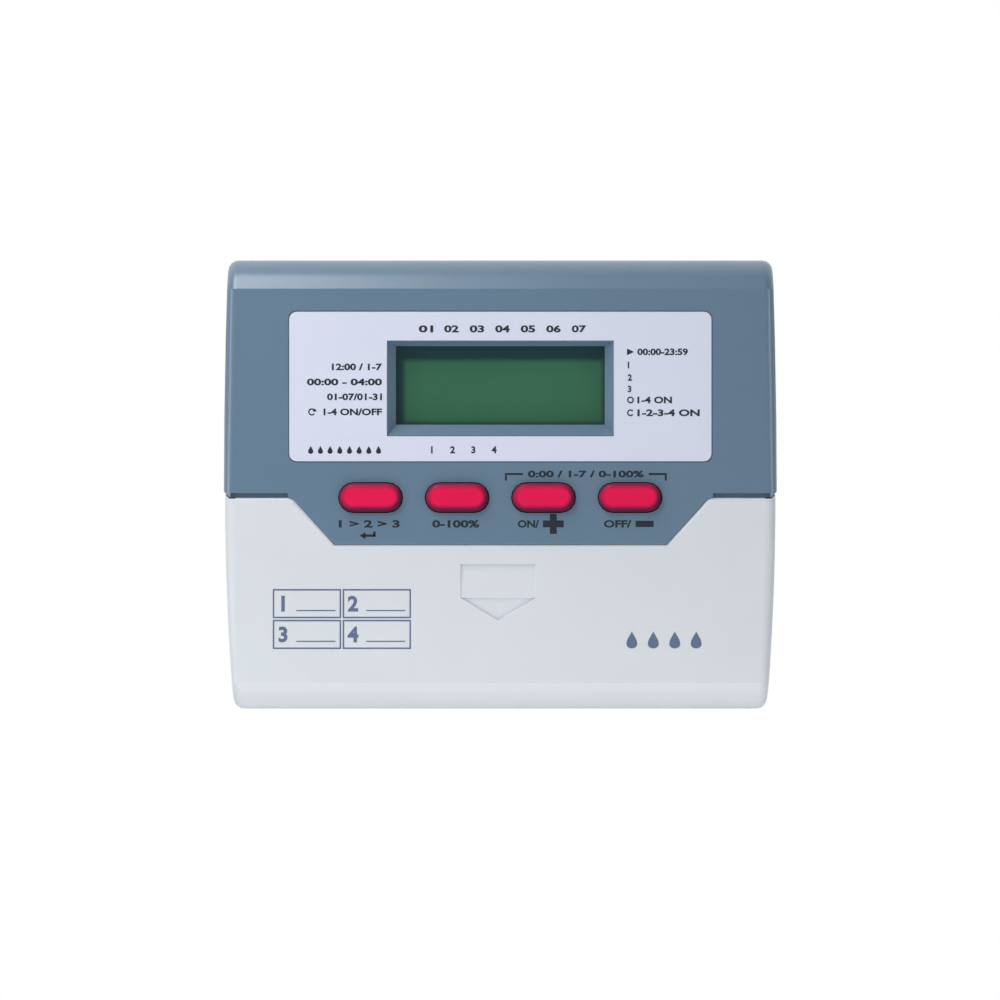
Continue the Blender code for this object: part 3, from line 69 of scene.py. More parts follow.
class Align(Enum):
    """Which end of a printed mark its place names."""

    LEFT = 0.0
    CENTRE = 0.5
    RIGHT = 1.0


class Effect(str, Enum):
    """Surface effects that several finishes share."""

    GRAIN = "moulded_grain"
    MOTTLE = "handling_mottle"
    WEAR = "edge_wear"
    DUST = "settled_dust"


@dataclass(frozen=True)
class Tone:
    """A display colour written as 8-bit red, green and blue."""

    red: int
    green: int
    blue: int

    def linear(self, factor: float = 1.0) -> tuple[float, float, float, float]:
        """The scene-linear colour, by the sRGB curve.

        Args:
            factor: Brightness by which the colour is multiplied.

        Returns:
            Red, green, blue and full alpha.
        """
        levels = [channel / 255 for channel in (self.red, self.green, self.blue)]
        linear = [v / 12.92 if v <= 0.04045 else ((v + 0.055) / 1.055) ** 2.4 for v in levels]
        return (*[min(v * factor, 1.0) for v in linear], 1.0)


@dataclass
class Graph:
    """A node tree with short calls for adding and joining its nodes."""

    tree: bpy.types.NodeTree
    mix_inputs: ClassVar[tuple[int, int, int]] = (0, 6, 7)
    mix_output: ClassVar[int] = 2

    @classmethod
    def cleared(cls, owner: Union[bpy.types.Material, bpy.types.World]) -> "Graph":
        """The graph of a material or world, emptied.

        Args:
            owner: Material or world.

        Returns:
            Its graph, with no nodes yet.
        """
        owner.use_nodes = True
        owner.node_tree.nodes.clear()
        return cls(owner.node_tree)

    def add(self, kind: str, **settings: Any) -> bpy.types.Node:
        """Adds a node.

        Args:
            kind: Blender's type name of the node.
            settings: Values for the node's own properties.

        Returns:
            The new node.
        """
        node = self.tree.nodes.new(kind)
        for name, value in settings.items():
            setattr(node, name, value)
        return node

    def feed(self, socket: bpy.types.NodeSocket, value: Feed) -> None:
        """Links a socket to its input, or sets its value.

        Args:
            socket: Input that is fed.
            value: Another node's output, or a plain value.
        """
        if isinstance(value, bpy.types.NodeSocket):
            self.tree.links.new(value, socket)
        else:
            socket.default_value = value

    def math(self, operation: str, first: Feed, second: Feed = 0.0) -> bpy.types.NodeSocket:
        """A sum on two values.

        Args:
            operation: Blender's name of the sum.
            first: First value.
            second: Second value.

        Returns:
            The result.
        """
        node = self.add("ShaderNodeMath", operation=operation)
        self.feed(node.inputs[0], first)
        self.feed(node.inputs[1], second)
        return node.outputs[0]

    def mix(self, factor: Feed, first: Feed, second: Feed) -> bpy.types.NodeSocket:
        """A mix of two colours.

        Args:
            factor: Share of the second colour.
            first: First colour.
            second: Second colour.

        Returns:
            The mixed colour.
        """
        node = self.add("ShaderNodeMix", data_type="RGBA")
        for index, value in zip(self.mix_inputs, (factor, first, second)):
            self.feed(node.inputs[index], value)
        return node.outputs[self.mix_output]

    def blend(self, factor: Feed, first: Feed, second: Feed) -> bpy.types.NodeSocket:
        """A mix of two shaders.

        Args:
            factor: Share of the second shader.
            first: First shader.
            second: Second shader.

        Returns:
            The mixed shader.
        """
        node = self.add("ShaderNodeMixShader")
        for socket, value in zip(node.inputs, (factor, first, second)):
            self.feed(socket, value)
        return node.outputs[0]

    def noise(self, place: Feed, scale: Feed, detail: float, twist: float = 0.0) -> bpy.types.NodeSocket:
        """Noise between 0 and 1.

        Args:
            place: Coordinates that the noise is read at.
            scale: Features to the metre.
            detail: Number of finer layers.
            twist: How far the noise bends itself.

        Returns:
            The noise value.
        """
        node = self.add("ShaderNodeTexNoise")
        self.feed(node.inputs["Vector"], place)
        self.feed(node.inputs["Scale"], scale)
        node.inputs["Detail"].default_value = detail
        node.inputs["Distortion"].default_value = twist
        return node.outputs["Fac"]

    def spread(self, value: Feed, low: float, high: float, to_low: float = 0.0,
               to_high: float = 1.0) -> bpy.types.NodeSocket:
        """Maps a range of values to another, and holds what lies outside at its ends.

        Args:
            value: Value to map.
            low: Start of the range.
            high: End of the range.
            to_low: Result at the start.
            to_high: Result at the end.

        Returns:
            The mapped value.
        """
        node = self.add("ShaderNodeMapRange")
        self.feed(node.inputs["Value"], value)
        for name, number in (("From Min", low), ("From Max", high), ("To Min", to_low), ("To Max", to_high)):
            node.inputs[name].default_value = number
        return node.outputs["Result"]

    def axis(self, place: bpy.types.NodeSocket, name: str) -> bpy.types.NodeSocket:
        """One coordinate of a place.

        Args:
            place: Coordinates.
            name: X, Y or Z.

        Returns:
            The coordinate.
        """
        node = self.add("ShaderNodeSeparateXYZ")
        self.feed(node.inputs[0], place)
        return node.outputs[name]

    def band(self, value: Feed, low: float, high: float, soft: float) -> bpy.types.NodeSocket:
        """A mask that is 1 between two values.

        Args:
            value: Value to test.
            low: Start of the band.
            high: End of the band.
            soft: Width over which each end fades.

        Returns:
            The mask.
        """
        start = self.spread(value, low - soft / 2, low + soft / 2)
        end = self.spread(value, high - soft / 2, high + soft / 2, 1.0, 0.0)
        return self.math("MULTIPLY", start, end)


@dataclass
class EffectLibrary:
    """Shader node groups for the shared effects, each built once."""

    plain_detail: float = 1.0
    grain_detail: float = 3.0
    coarse_scale: float = 0.31
    coarse_share: float = 0.3
    mottle_detail: float = 3.0
    mottle_twist: float = 0.6
    mottle_range: Span = (0.25, 0.75)
    speck_scale: float = 23.0
    speck_share: float = 0.12
    wear_samples: int = 4
    wear_turn: Span = (0.99, 0.80)
    wear_scale: float = 420.0
    wear_detail: float = 3.0
    wear_range: Span = (0.35, 0.65)
    wear_least: float = 0.35
    dust_scale: float = 160.0
    dust_detail: float = 4.0
    dust_range: Span = (0.4, 0.75)
    dust_tilt: Span = (0.55, 1.0)

    def __post_init__(self) -> None:
        """Builds every group."""
        self._groups = {
            Effect.GRAIN: self._grain(),
            Effect.MOTTLE: self._mottle(),
            Effect.WEAR: self._wear(),
            Effect.DUST: self._dust(),
        }

    def place(self, graph: Graph, effect: Effect, **feeds: Feed) -> bpy.types.NodeSocket:
        """Puts an effect into a material.

        Args:
            graph: The material's graph.
            effect: Which effect.
            feeds: Values for the group's inputs.

        Returns:
            The group's output.
        """
        node = graph.add("ShaderNodeGroup", node_tree=self._groups[effect])
        for name, value in feeds.items():
            graph.feed(node.inputs[name], value)
        return node.outputs[0]

    @staticmethod
    def _start(effect: Effect, inputs: Sequence[str],
               output: str) -> tuple[Graph, bpy.types.bpy_prop_collection, bpy.types.NodeSocket]:
        """Starts a group whose first input is a place and whose other inputs are numbers.

        Args:
            effect: Which effect the group is for.
            inputs: Names of the numbers.
            output: Name of the output.

        Returns:
            The group's graph, its inputs and its output socket.
        """
        tree = bpy.data.node_groups.new(effect.value, "ShaderNodeTree")
        tree.interface.new_socket("Place", in_out="INPUT", socket_type="NodeSocketVector")
        for name in inputs:
            tree.interface.new_socket(name, in_out="INPUT", socket_type="NodeSocketFloat")
        tree.interface.new_socket(output, in_out="OUTPUT", socket_type="NodeSocketFloat")
        graph = Graph(tree)
        return graph, graph.add("NodeGroupInput").outputs, graph.add("NodeGroupOutput").inputs[output]

    @staticmethod
    def _layers(graph: Graph, first: Feed, second: Feed, share: float) -> bpy.types.NodeSocket:
        """Two noises in one.

        Args:
            graph: The group's graph.
            first: The main noise.
            second: The other noise.
            share: Share of the other noise.

        Returns:
            Their weighted sum.
        """
        main = graph.math("MULTIPLY", first, 1 - share)
        return graph.math("ADD", main, graph.math("MULTIPLY", second, share))

    def _grain(self) -> bpy.types.NodeTree:
        """Fine pits and pimples of a textured mould, as a height.

        Returns:
            The group.
        """
        graph, given, result = self._start(Effect.GRAIN, ["Scale"], "Height")
        fine = graph.noise(given["Place"], given["Scale"], self.grain_detail)
        coarser = graph.math("MULTIPLY", given["Scale"], self.coarse_scale)
        coarse = graph.noise(given["Place"], coarser, self.plain_detail)
        graph.feed(result, self._layers(graph, fine, coarse, self.coarse_share))
        return graph.tree

    def _mottle(self) -> bpy.types.NodeTree:
        """Slow drift in tone and gloss from moulding and handling.

        Returns:
            The group.
        """
        graph, given, result = self._start(Effect.MOTTLE, ["Scale"], "Value")
        slow = graph.noise(given["Place"], given["Scale"], self.mottle_detail, self.mottle_twist)
        finer = graph.math("MULTIPLY", given["Scale"], self.speck_scale)
        speck = graph.noise(given["Place"], finer, self.plain_detail)
        both = self._layers(graph, slow, speck, self.speck_share)
        graph.feed(result, graph.spread(both, *self.mottle_range))
        return graph.tree

    def _wear(self) -> bpy.types.NodeTree:
        """Rubbed outer edges, where the surface turns within a small radius.

        Returns:
            The group.
        """
        graph, given, result = self._start(Effect.WEAR, ["Radius"], "Mask")
        rounded = graph.add("ShaderNodeBevel", samples=self.wear_samples)
        graph.feed(rounded.inputs["Radius"], given["Radius"])
        turn = graph.add("ShaderNodeVectorMath", operation="DOT_PRODUCT")
        graph.feed(turn.inputs[0], rounded.outputs["Normal"])
        graph.feed(turn.inputs[1], graph.add("ShaderNodeNewGeometry").outputs["Normal"])
        edge = graph.spread(turn.outputs["Value"], *self.wear_turn)
        noise = graph.noise(given["Place"], self.wear_scale, self.wear_detail)
        patches = graph.spread(noise, *self.wear_range, self.wear_least)
        graph.feed(result, graph.math("MULTIPLY", edge, patches))
        return graph.tree

    def _dust(self) -> bpy.types.NodeTree:
        """Fine dust on surfaces that face up.

        Returns:
            The group.
        """
        graph, given, result = self._start(Effect.DUST, [], "Mask")
        up = graph.axis(graph.add("ShaderNodeNewGeometry").outputs["Normal"], "Z")
        noise = graph.noise(given["Place"], self.dust_scale, self.dust_detail)
        patches = graph.spread(noise, *self.dust_range)
        graph.feed(result, graph.math("MULTIPLY", graph.spread(up, *self.dust_tilt), patches))
        return graph.tree


@dataclass(frozen=True)
class Finish:
    """A moulded, rubber, metal or printed surface with grain, drift, edge wear and dust."""

    name: str
    tone: Tone
    slot: str = ""
    roughness: float = 0.45
    metallic: float = 0.0
    gloss: float = 0.5
    grain_scale: float = 3200.0
    grain_depth: float = 0.12
    grain_height: float = 0.1 * MILLIMETRE
    drift_scale: float = 28.0
    drift: float = 0.05
    gloss_drift: float = 0.10
    wear: float = 0.25
    wear_radius: float = 0.6 * MILLIMETRE
    wear_light: float = 1.35
    dust: float = 0.05
    dust_tone: Tone = Tone(196, 194, 188)

    def colour(self, graph: Graph, place: Feed, drift: Feed) -> bpy.types.NodeSocket:
        """The colour before wear and dust.

        Args:
            graph: The material's graph.
            place: Coordinates on the piece; not used here.
            drift: Slow drift between 0 and 1.

        Returns:
            The colour.
        """
        return graph.mix(drift, self.tone.linear(1 - self.drift), self.tone.linear(1 + self.drift))

    def adjust(self, graph: Graph, shader: bpy.types.Node, place: Feed) -> None:
        """Changes that one kind of finish makes to its shader; none here."""

    def surface(self, graph: Graph, shader: bpy.types.Node) -> bpy.types.NodeSocket:
        """The shader that reaches the material's output."""
        return shader.outputs[0]

    def build(self, effects: EffectLibrary) -> bpy.types.Material:
        """Makes the material.

        Args:
            effects: Library of the shared effects.

        Returns:
            The material.
        """
        made = bpy.data.materials.new(self.name)
        graph = Graph.cleared(made)
        shader = graph.add("ShaderNodeBsdfPrincipled")
        place = graph.add("ShaderNodeTexCoord").outputs["Object"]
        drift = effects.place(graph, Effect.MOTTLE, Place=place, Scale=self.drift_scale)
        wear = effects.place(graph, Effect.WEAR, Place=place, Radius=self.wear_radius)
        worn = graph.math("MULTIPLY", wear, self.wear)
        colour = graph.mix(worn, self.colour(graph, place, drift), self.tone.linear(self.wear_light))
        dust = graph.math("MULTIPLY", effects.place(graph, Effect.DUST, Place=place), self.dust)
        graph.feed(shader.inputs["Base Color"], graph.mix(dust, colour, self.dust_tone.linear()))
        low = self.roughness - self.gloss_drift / 2
        graph.feed(shader.inputs["Roughness"], graph.spread(drift, 0.0, 1.0, low, low + self.gloss_drift))
        shader.inputs["Metallic"].default_value = self.metallic
        shader.inputs["Specular IOR Level"].default_value = self.gloss
        bump = graph.add("ShaderNodeBump")
        bump.inputs["Strength"].default_value = self.grain_depth
        bump.inputs["Distance"].default_value = self.grain_height
        grain = effects.place(graph, Effect.GRAIN, Place=place, Scale=self.grain_scale)
        graph.feed(bump.inputs["Height"], grain)
        graph.feed(shader.inputs["Normal"], bump.outputs["Normal"])
        self.adjust(graph, shader, place)
        output = graph.add("ShaderNodeOutputMaterial")
        graph.feed(output.inputs["Surface"], self.surface(graph, shader))
        made.diffuse_color = self.tone.linear()
        return made


@dataclass(frozen=True)
class KeyFinish(Finish):
    """Key plastic with painted shade round the rim, deepest at the lower right, and a lighter painted lit
    tone on the rim's upper left.
    """

    # Painted lit and shaded tones of the rim: one for the side that faces the light, one for the side turned
    # from it.
    painted_lit_rim_tone: Tone = Tone(146, 26, 70)
    painted_shaded_rim_tone: Tone = Tone(84, 22, 54)
    pitch: float = 25.0 * MILLIMETRE
    straight: float = 9.9 * MILLIMETRE
    radius: float = 4.15 * MILLIMETRE
    # Painted shade band round each key's outline: where it starts and where it is full.
    rim_start: float = 1.9 * MILLIMETRE
    rim_full: float = 0.7 * MILLIMETRE
    middle_x: float = 12.3 * MILLIMETRE
    middle_z: float = -3.6 * MILLIMETRE
    painted_light_lean: float = 0.6
    painted_light_range: Span = (-0.4, 0.4)
    painted_turn_shade_range: Span = (-0.997, -0.86)

    def _painted_rim_shade(self, graph: Graph, place: Feed) -> bpy.types.NodeSocket:
        """Where the painted shade round a key's rim lies, seen from the front.

        Args:
            graph: The material's graph.
            place: Coordinates on the piece.

        Returns:
            1 at the outline of a key, and 0 over its middle, which sits a little up and left.
        """
        along = graph.math("SUBTRACT", graph.axis(place, "X"), self.middle_x)
        along = graph.math("PINGPONG", along, self.pitch / 2)
        past = graph.math("MAXIMUM", graph.math("SUBTRACT", along, self.straight / 2), 0.0)
        up = graph.math("SUBTRACT", graph.axis(place, "Z"), self.middle_z)
        squares = graph.math("ADD", graph.math("MULTIPLY", past, past), graph.math("MULTIPLY", up, up))
        reach = graph.math("SQRT", squares)
        return graph.spread(reach, self.radius - self.rim_start, self.radius - self.rim_full)

    def colour(self, graph: Graph, place: Feed, drift: Feed) -> bpy.types.NodeSocket:
        """The key's colour, with painted shade at the rim and where the surface turns away from the front.

        Args:
            graph: The material's graph.
            place: Coordinates on the piece.
            drift: Slow drift between 0 and 1.

        Returns:
            The colour.
        """
        body = super().colour(graph, place, drift)
        normal = graph.add("ShaderNodeNewGeometry").outputs["Normal"]
        # Painted light: the rim takes the lit tone where it faces up and left, and the shaded tone where it
        # faces down and right.
        across = graph.math("MULTIPLY", graph.axis(normal, "X"), self.painted_light_lean)
        painted_light_facing = graph.spread(graph.math("SUBTRACT", graph.axis(normal, "Z"), across), *self.painted_light_range)
        side = graph.mix(painted_light_facing, self.painted_shaded_rim_tone.linear(), self.painted_lit_rim_tone.linear())
        # Painted shade where the rounded edge turns away from the front, and round each key's outline.
        turned = graph.spread(graph.axis(normal, "Y"), *self.painted_turn_shade_range)
        return graph.mix(graph.math("MAXIMUM", turned, self._painted_rim_shade(graph, place)), body, side)


@dataclass(frozen=True)
class ClearFinish(Finish):
    """Clear moulded window with a glare-cutting coat, which lets light through to what is behind it."""

    index: float = 1.33

    def adjust(self, graph: Graph, shader: bpy.types.Node, place: Feed) -> None:
        """Makes the plastic clear."""
        shader.inputs["Transmission Weight"].default_value = 1.0
        shader.inputs["IOR"].default_value = self.index

    def surface(self, graph: Graph, shader: bpy.types.Node) -> bpy.types.NodeSocket:
        """Lets the lamps' light and bounced light pass, and keeps the gloss.

        Args:
            graph: The material's graph.
            shader: The clear plastic's shader.

        Returns:
            The shader that reaches the material's output.
        """
        rays = graph.add("ShaderNodeLightPath").outputs
        passing = graph.math("MAXIMUM", rays["Is Shadow Ray"], rays["Is Diffuse Ray"])
        through = graph.add("ShaderNodeBsdfTransparent").outputs[0]
        return graph.blend(passing, shader.outputs[0], through)


@dataclass(frozen=True)
class DisplayFinish(Finish):
    """Green display cell with a painted shadow of the bezel round its reading area, widest along the top and
    left.
    """

    painted_shadow_tone: Tone = Tone(6, 65, 67)
    # Edges of the area clear of the painted bezel shadow.
    left: float = -27.8 * MILLIMETRE
    right: float = 29.6 * MILLIMETRE
    low: float = 18.0 * MILLIMETRE
    high: float = 35.9 * MILLIMETRE
    soft: float = 1.4 * MILLIMETRE

    def colour(self, graph: Graph, place: Feed, drift: Feed) -> bpy.types.NodeSocket:
        """The cell's colour, which fades into the painted bezel shadow at the margin.

        Args:
            graph: The material's graph.
            place: Coordinates on the piece.
            drift: Slow drift between 0 and 1.

        Returns:
            The colour.
        """
        body = super().colour(graph, place, drift)
        across = graph.band(graph.axis(place, "X"), self.left, self.right, self.soft)
        up = graph.band(graph.axis(place, "Z"), self.low, self.high, self.soft)
        # Painted shadow: outside these edges the cell takes the shadow tone.
        return graph.mix(graph.math("MULTIPLY", across, up), self.painted_shadow_tone.linear(), body)


@dataclass(frozen=True)
class BoardFinish(Finish):
    """Green solder mask over copper tracks."""

    track_tone: Tone = Tone(64, 128, 82)
    track_spacing: float = 6.6 * MILLIMETRE
    track_fade: Span = (0.07, 0.09)

    def colour(self, graph: Graph, place: Feed, drift: Feed) -> bpy.types.NodeSocket:
        """The mask's colour, lighter over the tracks.

        Args:
            graph: The material's graph.
            place: Coordinates on the piece.
            drift: Slow drift between 0 and 1.

        Returns:
            The colour.
        """
        body = super().colour(graph, place, drift)
        cells = graph.add("ShaderNodeTexVoronoi", feature="DISTANCE_TO_EDGE", distance="MANHATTAN")
        graph.feed(cells.inputs["Vector"], place)
        cells.inputs["Scale"].default_value = 1 / self.track_spacing
        tracks = graph.spread(cells.outputs["Distance"], *self.track_fade, 1.0, 0.0)
        return graph.mix(tracks, body, self.track_tone.linear())


@dataclass(frozen=True)
class BandFinish(Finish):
    """A piece with bands of bare metal across X, such as a capped tube or a studded can."""

    band_tone: Tone = Tone(190, 192, 196)
    bands: tuple[Span, ...] = ()
    band_fade: float = 0.05 * MILLIMETRE

    def _mask(self, graph: Graph, place: Feed) -> bpy.types.NodeSocket:
        """Where the bands are.

        Args:
            graph: The material's graph.
            place: Coordinates on the piece.

        Returns:
            1 over the bands, and 0 elsewhere.
        """
        across = graph.axis(place, "X")
        total: Feed = 0.0
        for low, high in self.bands:
            total = graph.math("ADD", total, graph.band(across, low, high, self.band_fade))
        return graph.math("MINIMUM", total, 1.0)

    def colour(self, graph: Graph, place: Feed, drift: Feed) -> bpy.types.NodeSocket:
        """The body's colour, with the metal's over the bands."""
        body = super().colour(graph, place, drift)
        return graph.mix(self._mask(graph, place), body, self.band_tone.linear())

    def adjust(self, graph: Graph, shader: bpy.types.Node, place: Feed) -> None:
        """Makes the bands metal."""
        graph.feed(shader.inputs["Metallic"], self._mask(graph, place))


HOUSING = Finish("housing_plastic", Tone(94, 121, 144), "housing", roughness=0.30, gloss=0.9,
                 gloss_drift=0.04, grain_depth=0.05, drift=0.012, wear=0.06)
COVER = Finish("cover_plastic", Tone(212, 217, 224), "cover", roughness=0.36, grain_depth=0.08, drift=0.015,
               wear=0.4)
KEY = KeyFinish("key_plastic", Tone(223, 27, 79), "key", roughness=0.38, gloss=0.12, grain_depth=0.06,
                wear=0.0, dust=0.0)
LABEL = Finish("label_film", Tone(211, 217, 234), "label", roughness=0.38, grain_depth=0.04, drift=0.012,
               wear=0.1, dust=0.0)
INK = Finish("dark_ink", Tone(22, 36, 48), roughness=0.5, grain_depth=0.05, wear=0.0, drift=0.15, dust=0.0)
BLUE_INK = Finish("blue_grey_ink", Tone(92, 108, 138), roughness=0.5, grain_depth=0.05, wear=0.0, drift=0.08,
                  dust=0.0)
WINDOW = ClearFinish("clear_window", Tone(236, 242, 240), "window", roughness=0.03, grain_depth=0.0,
                     drift=0.005, gloss_drift=0.02, wear=0.0, dust=0.0, gloss=0.08)
DISPLAY = DisplayFinish("display_glass", Tone(57, 113, 85), "display", roughness=0.22, grain_depth=0.02,
                        drift=0.05, drift_scale=60.0, wear=0.0, dust=0.0, gloss=0.1)
SEGMENT = Finish("display_segments", Tone(56, 111, 83), "display", roughness=0.24, grain_depth=0.02,
                 wear=0.0, dust=0.0, gloss=0.1)
WHITE_PART = Finish("white_moulding", Tone(225, 225, 220), "inner_white", roughness=0.5, drift=0.03)
CONTACT = Finish("contact_rubber", Tone(60, 62, 66), "elastomer", roughness=0.7, drift=0.1)
BOARD = BoardFinish("board_laminate", Tone(36, 88, 56), "board", roughness=0.42, wear=0.1)
BLACK_PART = Finish("component_black", Tone(34, 35, 38), "component_black", roughness=0.46, drift=0.12)
TERMINAL = Finish("terminal_plastic", Tone(46, 122, 70), "terminal", roughness=0.44, drift=0.05)
STEEL = Finish("plated_steel", Tone(196, 198, 202), "plated_steel", roughness=0.30, metallic=1.0,
               grain_scale=2400.0, grain_depth=0.08, drift=0.06, wear_light=1.1)
CAN = Finish("can_metal", Tone(200, 202, 205), "can", roughness=0.26, metallic=1.0, grain_depth=0.05,
             drift=0.05)
SLEEVE = Finish("capacitor_sleeve", Tone(36, 52, 96), "sleeve", roughness=0.36, drift=0.06)
RUBBER = Finish("soft_rubber", Tone(40, 41, 43), "rubber", roughness=0.78, grain_depth=0.2, drift=0.1)
RED_WIRE = Finish("red_insulation", Tone(186, 30, 34), "lead_red", roughness=0.46, drift=0.06)
BLACK_WIRE = Finish("black_insulation", Tone(30, 30, 32), "lead_black", roughness=0.46, drift=0.1)


@dataclass
class Workshop:
    """Materials made so far, and the calls that put pieces into the scene."""

    effects: EffectLibrary = field(default_factory=EffectLibrary)
    weld_distance: float = 0.002 * MILLIMETRE
    flat_angle: float = math.radians(0.5)
    soften_angle: float = math.radians(40)
    hard_angle: float = math.radians(32)
    crease_angle: float = math.radians(14)
    crease_reach: float = 0.3 * MILLIMETRE
    crease_heights: tuple[float, ...] = (56.6 * MILLIMETRE, -57.4 * MILLIMETRE)

    def __post_init__(self) -> None:
        """Starts with the shared shading and no materials."""
        self._materials: dict[str, bpy.types.Material] = {}
        self._shading = self._shading_group()

    def material(self, finish: Finish) -> bpy.types.Material:
        """The material of a finish, made at its first use.

        Args:
            finish: The finish.

        Returns:
            Its material.
        """
        if finish.name not in self._materials:
            self._materials[finish.name] = finish.build(self.effects)
        return self._materials[finish.name]

    def _shading_group(self) -> bpy.types.NodeTree:
        """Geometry nodes that shade a mesh smooth, apart from its hard edges and its two shallow creases.

        Returns:
            The group.
        """
        tree = bpy.data.node_groups.new("moulded_shading", "GeometryNodeTree")
        for way in ("INPUT", "OUTPUT"):
            tree.interface.new_socket("Geometry", in_out=way, socket_type="NodeSocketGeometry")
        graph = Graph(tree)
        normal = graph.add("GeometryNodeSetMeshNormal", mode="SHARPNESS")
        normal.inputs["Remove Custom"].default_value = True
        angle = graph.add("GeometryNodeInputMeshEdgeAngle").outputs["Unsigned Angle"]
        height = graph.axis(graph.add("GeometryNodeInputPosition").outputs[0], "Z")
        crease: Feed = 0.0
        for level in self.crease_heights:
            away = graph.math("ABSOLUTE", graph.math("SUBTRACT", height, level))
            crease = graph.math("MAXIMUM", crease, graph.math("LESS_THAN", away, self.crease_reach))
        turned = graph.math("GREATER_THAN", angle, self.crease_angle)
        hard = graph.math("GREATER_THAN", angle, self.hard_angle)
        sharp = graph.math("MAXIMUM", hard, graph.math("MULTIPLY", crease, turned))
        graph.feed(normal.inputs["Edge Sharpness"], sharp)
        normal.inputs["Face Sharpness"].default_value = False
        graph.feed(normal.inputs["Mesh"], graph.add("NodeGroupInput").outputs["Geometry"])
        graph.feed(graph.add("NodeGroupOutput").inputs["Geometry"], normal.outputs["Mesh"])
        return tree

    def dress(self, finish: Finish, *nodes: str, edge: float = 0.0) -> None:
        """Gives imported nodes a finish, softened edges and smooth shading.

        Args:
            finish: Their finish.
            nodes: Names of the nodes.
            edge: Width of the softened edges, or 0 for none.
        """
        for node in nodes:
            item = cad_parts[node]
            weld = item.modifiers.new("weld", "WELD")
            weld.merge_threshold = self.weld_distance
            flat = item.modifiers.new("flat", "DECIMATE")
            flat.decimate_type = "DISSOLVE"
            flat.angle_limit = self.flat_angle
            if edge:
                soft = item.modifiers.new("soft_edges", "BEVEL")
                soft.width = edge
                soft.segments = EDGE_STEPS
                soft.limit_method = "ANGLE"
                soft.angle_limit = self.soften_angle
                soft.use_clamp_overlap = True
            item.modifiers.new("shading", "NODES").node_group = self._shading
            even = item.modifiers.new("even_normals", "WEIGHTED_NORMAL")
            even.keep_sharp = True
            item.material_slots[0].material = self.material(finish)
            LOG.info("dressed %s in %s", node, finish.name)

    def piece(self, name: str, work: bmesh.types.BMesh, body: Body, finish: Finish) -> None:
        """Turns a finished bmesh into a piece that rides on a body.

        Args:
            name: Name of the piece.
            work: Its mesh, which is freed.
            body: Body that it rides on.
            finish: Its finish.
        """
        bmesh.ops.recalc_face_normals(work, faces=work.faces)
        mesh = bpy.data.meshes.new(name)
        work.to_mesh(mesh)
        work.free()
        mesh.shade_smooth()
        mesh.set_sharp_from_angle(angle=self.hard_angle)
        mesh.materials.append(self.material(finish))
        item = bpy.data.objects.new(name, mesh)
        bpy.context.scene.collection.objects.link(item)
        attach(item, body.value)
        LOG.info("made %s: %d faces in %s", name, len(mesh.polygons), finish.name)


def numbered(name: str, count: int) -> list[str]:
    """Names of repeated nodes, counted from 1."""
    return [f"{name}_{index}" for index in range(1, count + 1)]


def front_depth(node: str) -> float:
    """Depth of a node's foremost point, from the wall."""
    return -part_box(node)[0].y


def middle(node: str) -> Vector:
    """Middle of a node's box."""
    low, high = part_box(node)
    return (low + high) / 2


def arc(x: float, z: float, radius: float, start: float, end: float, steps: int) -> list[Point]:
    """Points of an arc.

    Args:
        x: Middle across.
        z: Middle height.
        radius: Radius.
        start: First angle in radians.
        end: Last angle in radians.
        steps: Number of steps.

    Returns:
        The points, both ends included.
    """
    angles = [start + (end - start) * i / steps for i in range(steps + 1)]
    return [(x + radius * math.cos(a), z + radius * math.sin(a)) for a in angles]


def beside(points: Sequence[Point], distance: float) -> list[Point]:
    """A line that runs at a distance to the right of another.

    Args:
        points: Points of the line.
        distance: Distance between the two.

    Returns:
        As many points of the new line.
    """
    line = [Vector(point) for point in points]
    ways = [(b - a).normalized() for a, b in zip(line, line[1:])]
    result = []
    for point, before, after in zip(line, ways[:1] + ways, ways + ways[-1:]):
        across = (before + after).normalized()
        reach = distance / across.dot(before)
        result.append((point.x + across.y * reach, point.y - across.x * reach))
    return result


def add_box(work: bmesh.types.BMesh, low: Vector, high: Vector, soft: float = 0.0) -> None:
    """Adds a rectangular solid to a bmesh.

    Args:
        work: Mesh that it joins.
        low: Lowest corner.
        high: Highest corner.
        soft: Width of its softened edges, or 0 for none.
    """
    placing = Matrix.Translation((low + high) / 2) @ Matrix.Diagonal((*(high - low), 1))
    made = bmesh.ops.create_cube(work, size=1, matrix=placing)
    if soft:
        edges = {edge for vert in made["verts"] for edge in vert.link_edges}
        bmesh.ops.bevel(work, geom=list(edges), offset=soft, segments=EDGE_STEPS, profile=ROUND_PROFILE,
                        affect="EDGES")


@dataclass(frozen=True)
class Words:
    """A line of figures or signs, its width, and how far it lies from the place it belongs to."""

    says: str
    width: float
    across: float = 0.0
    up: float = 0.0


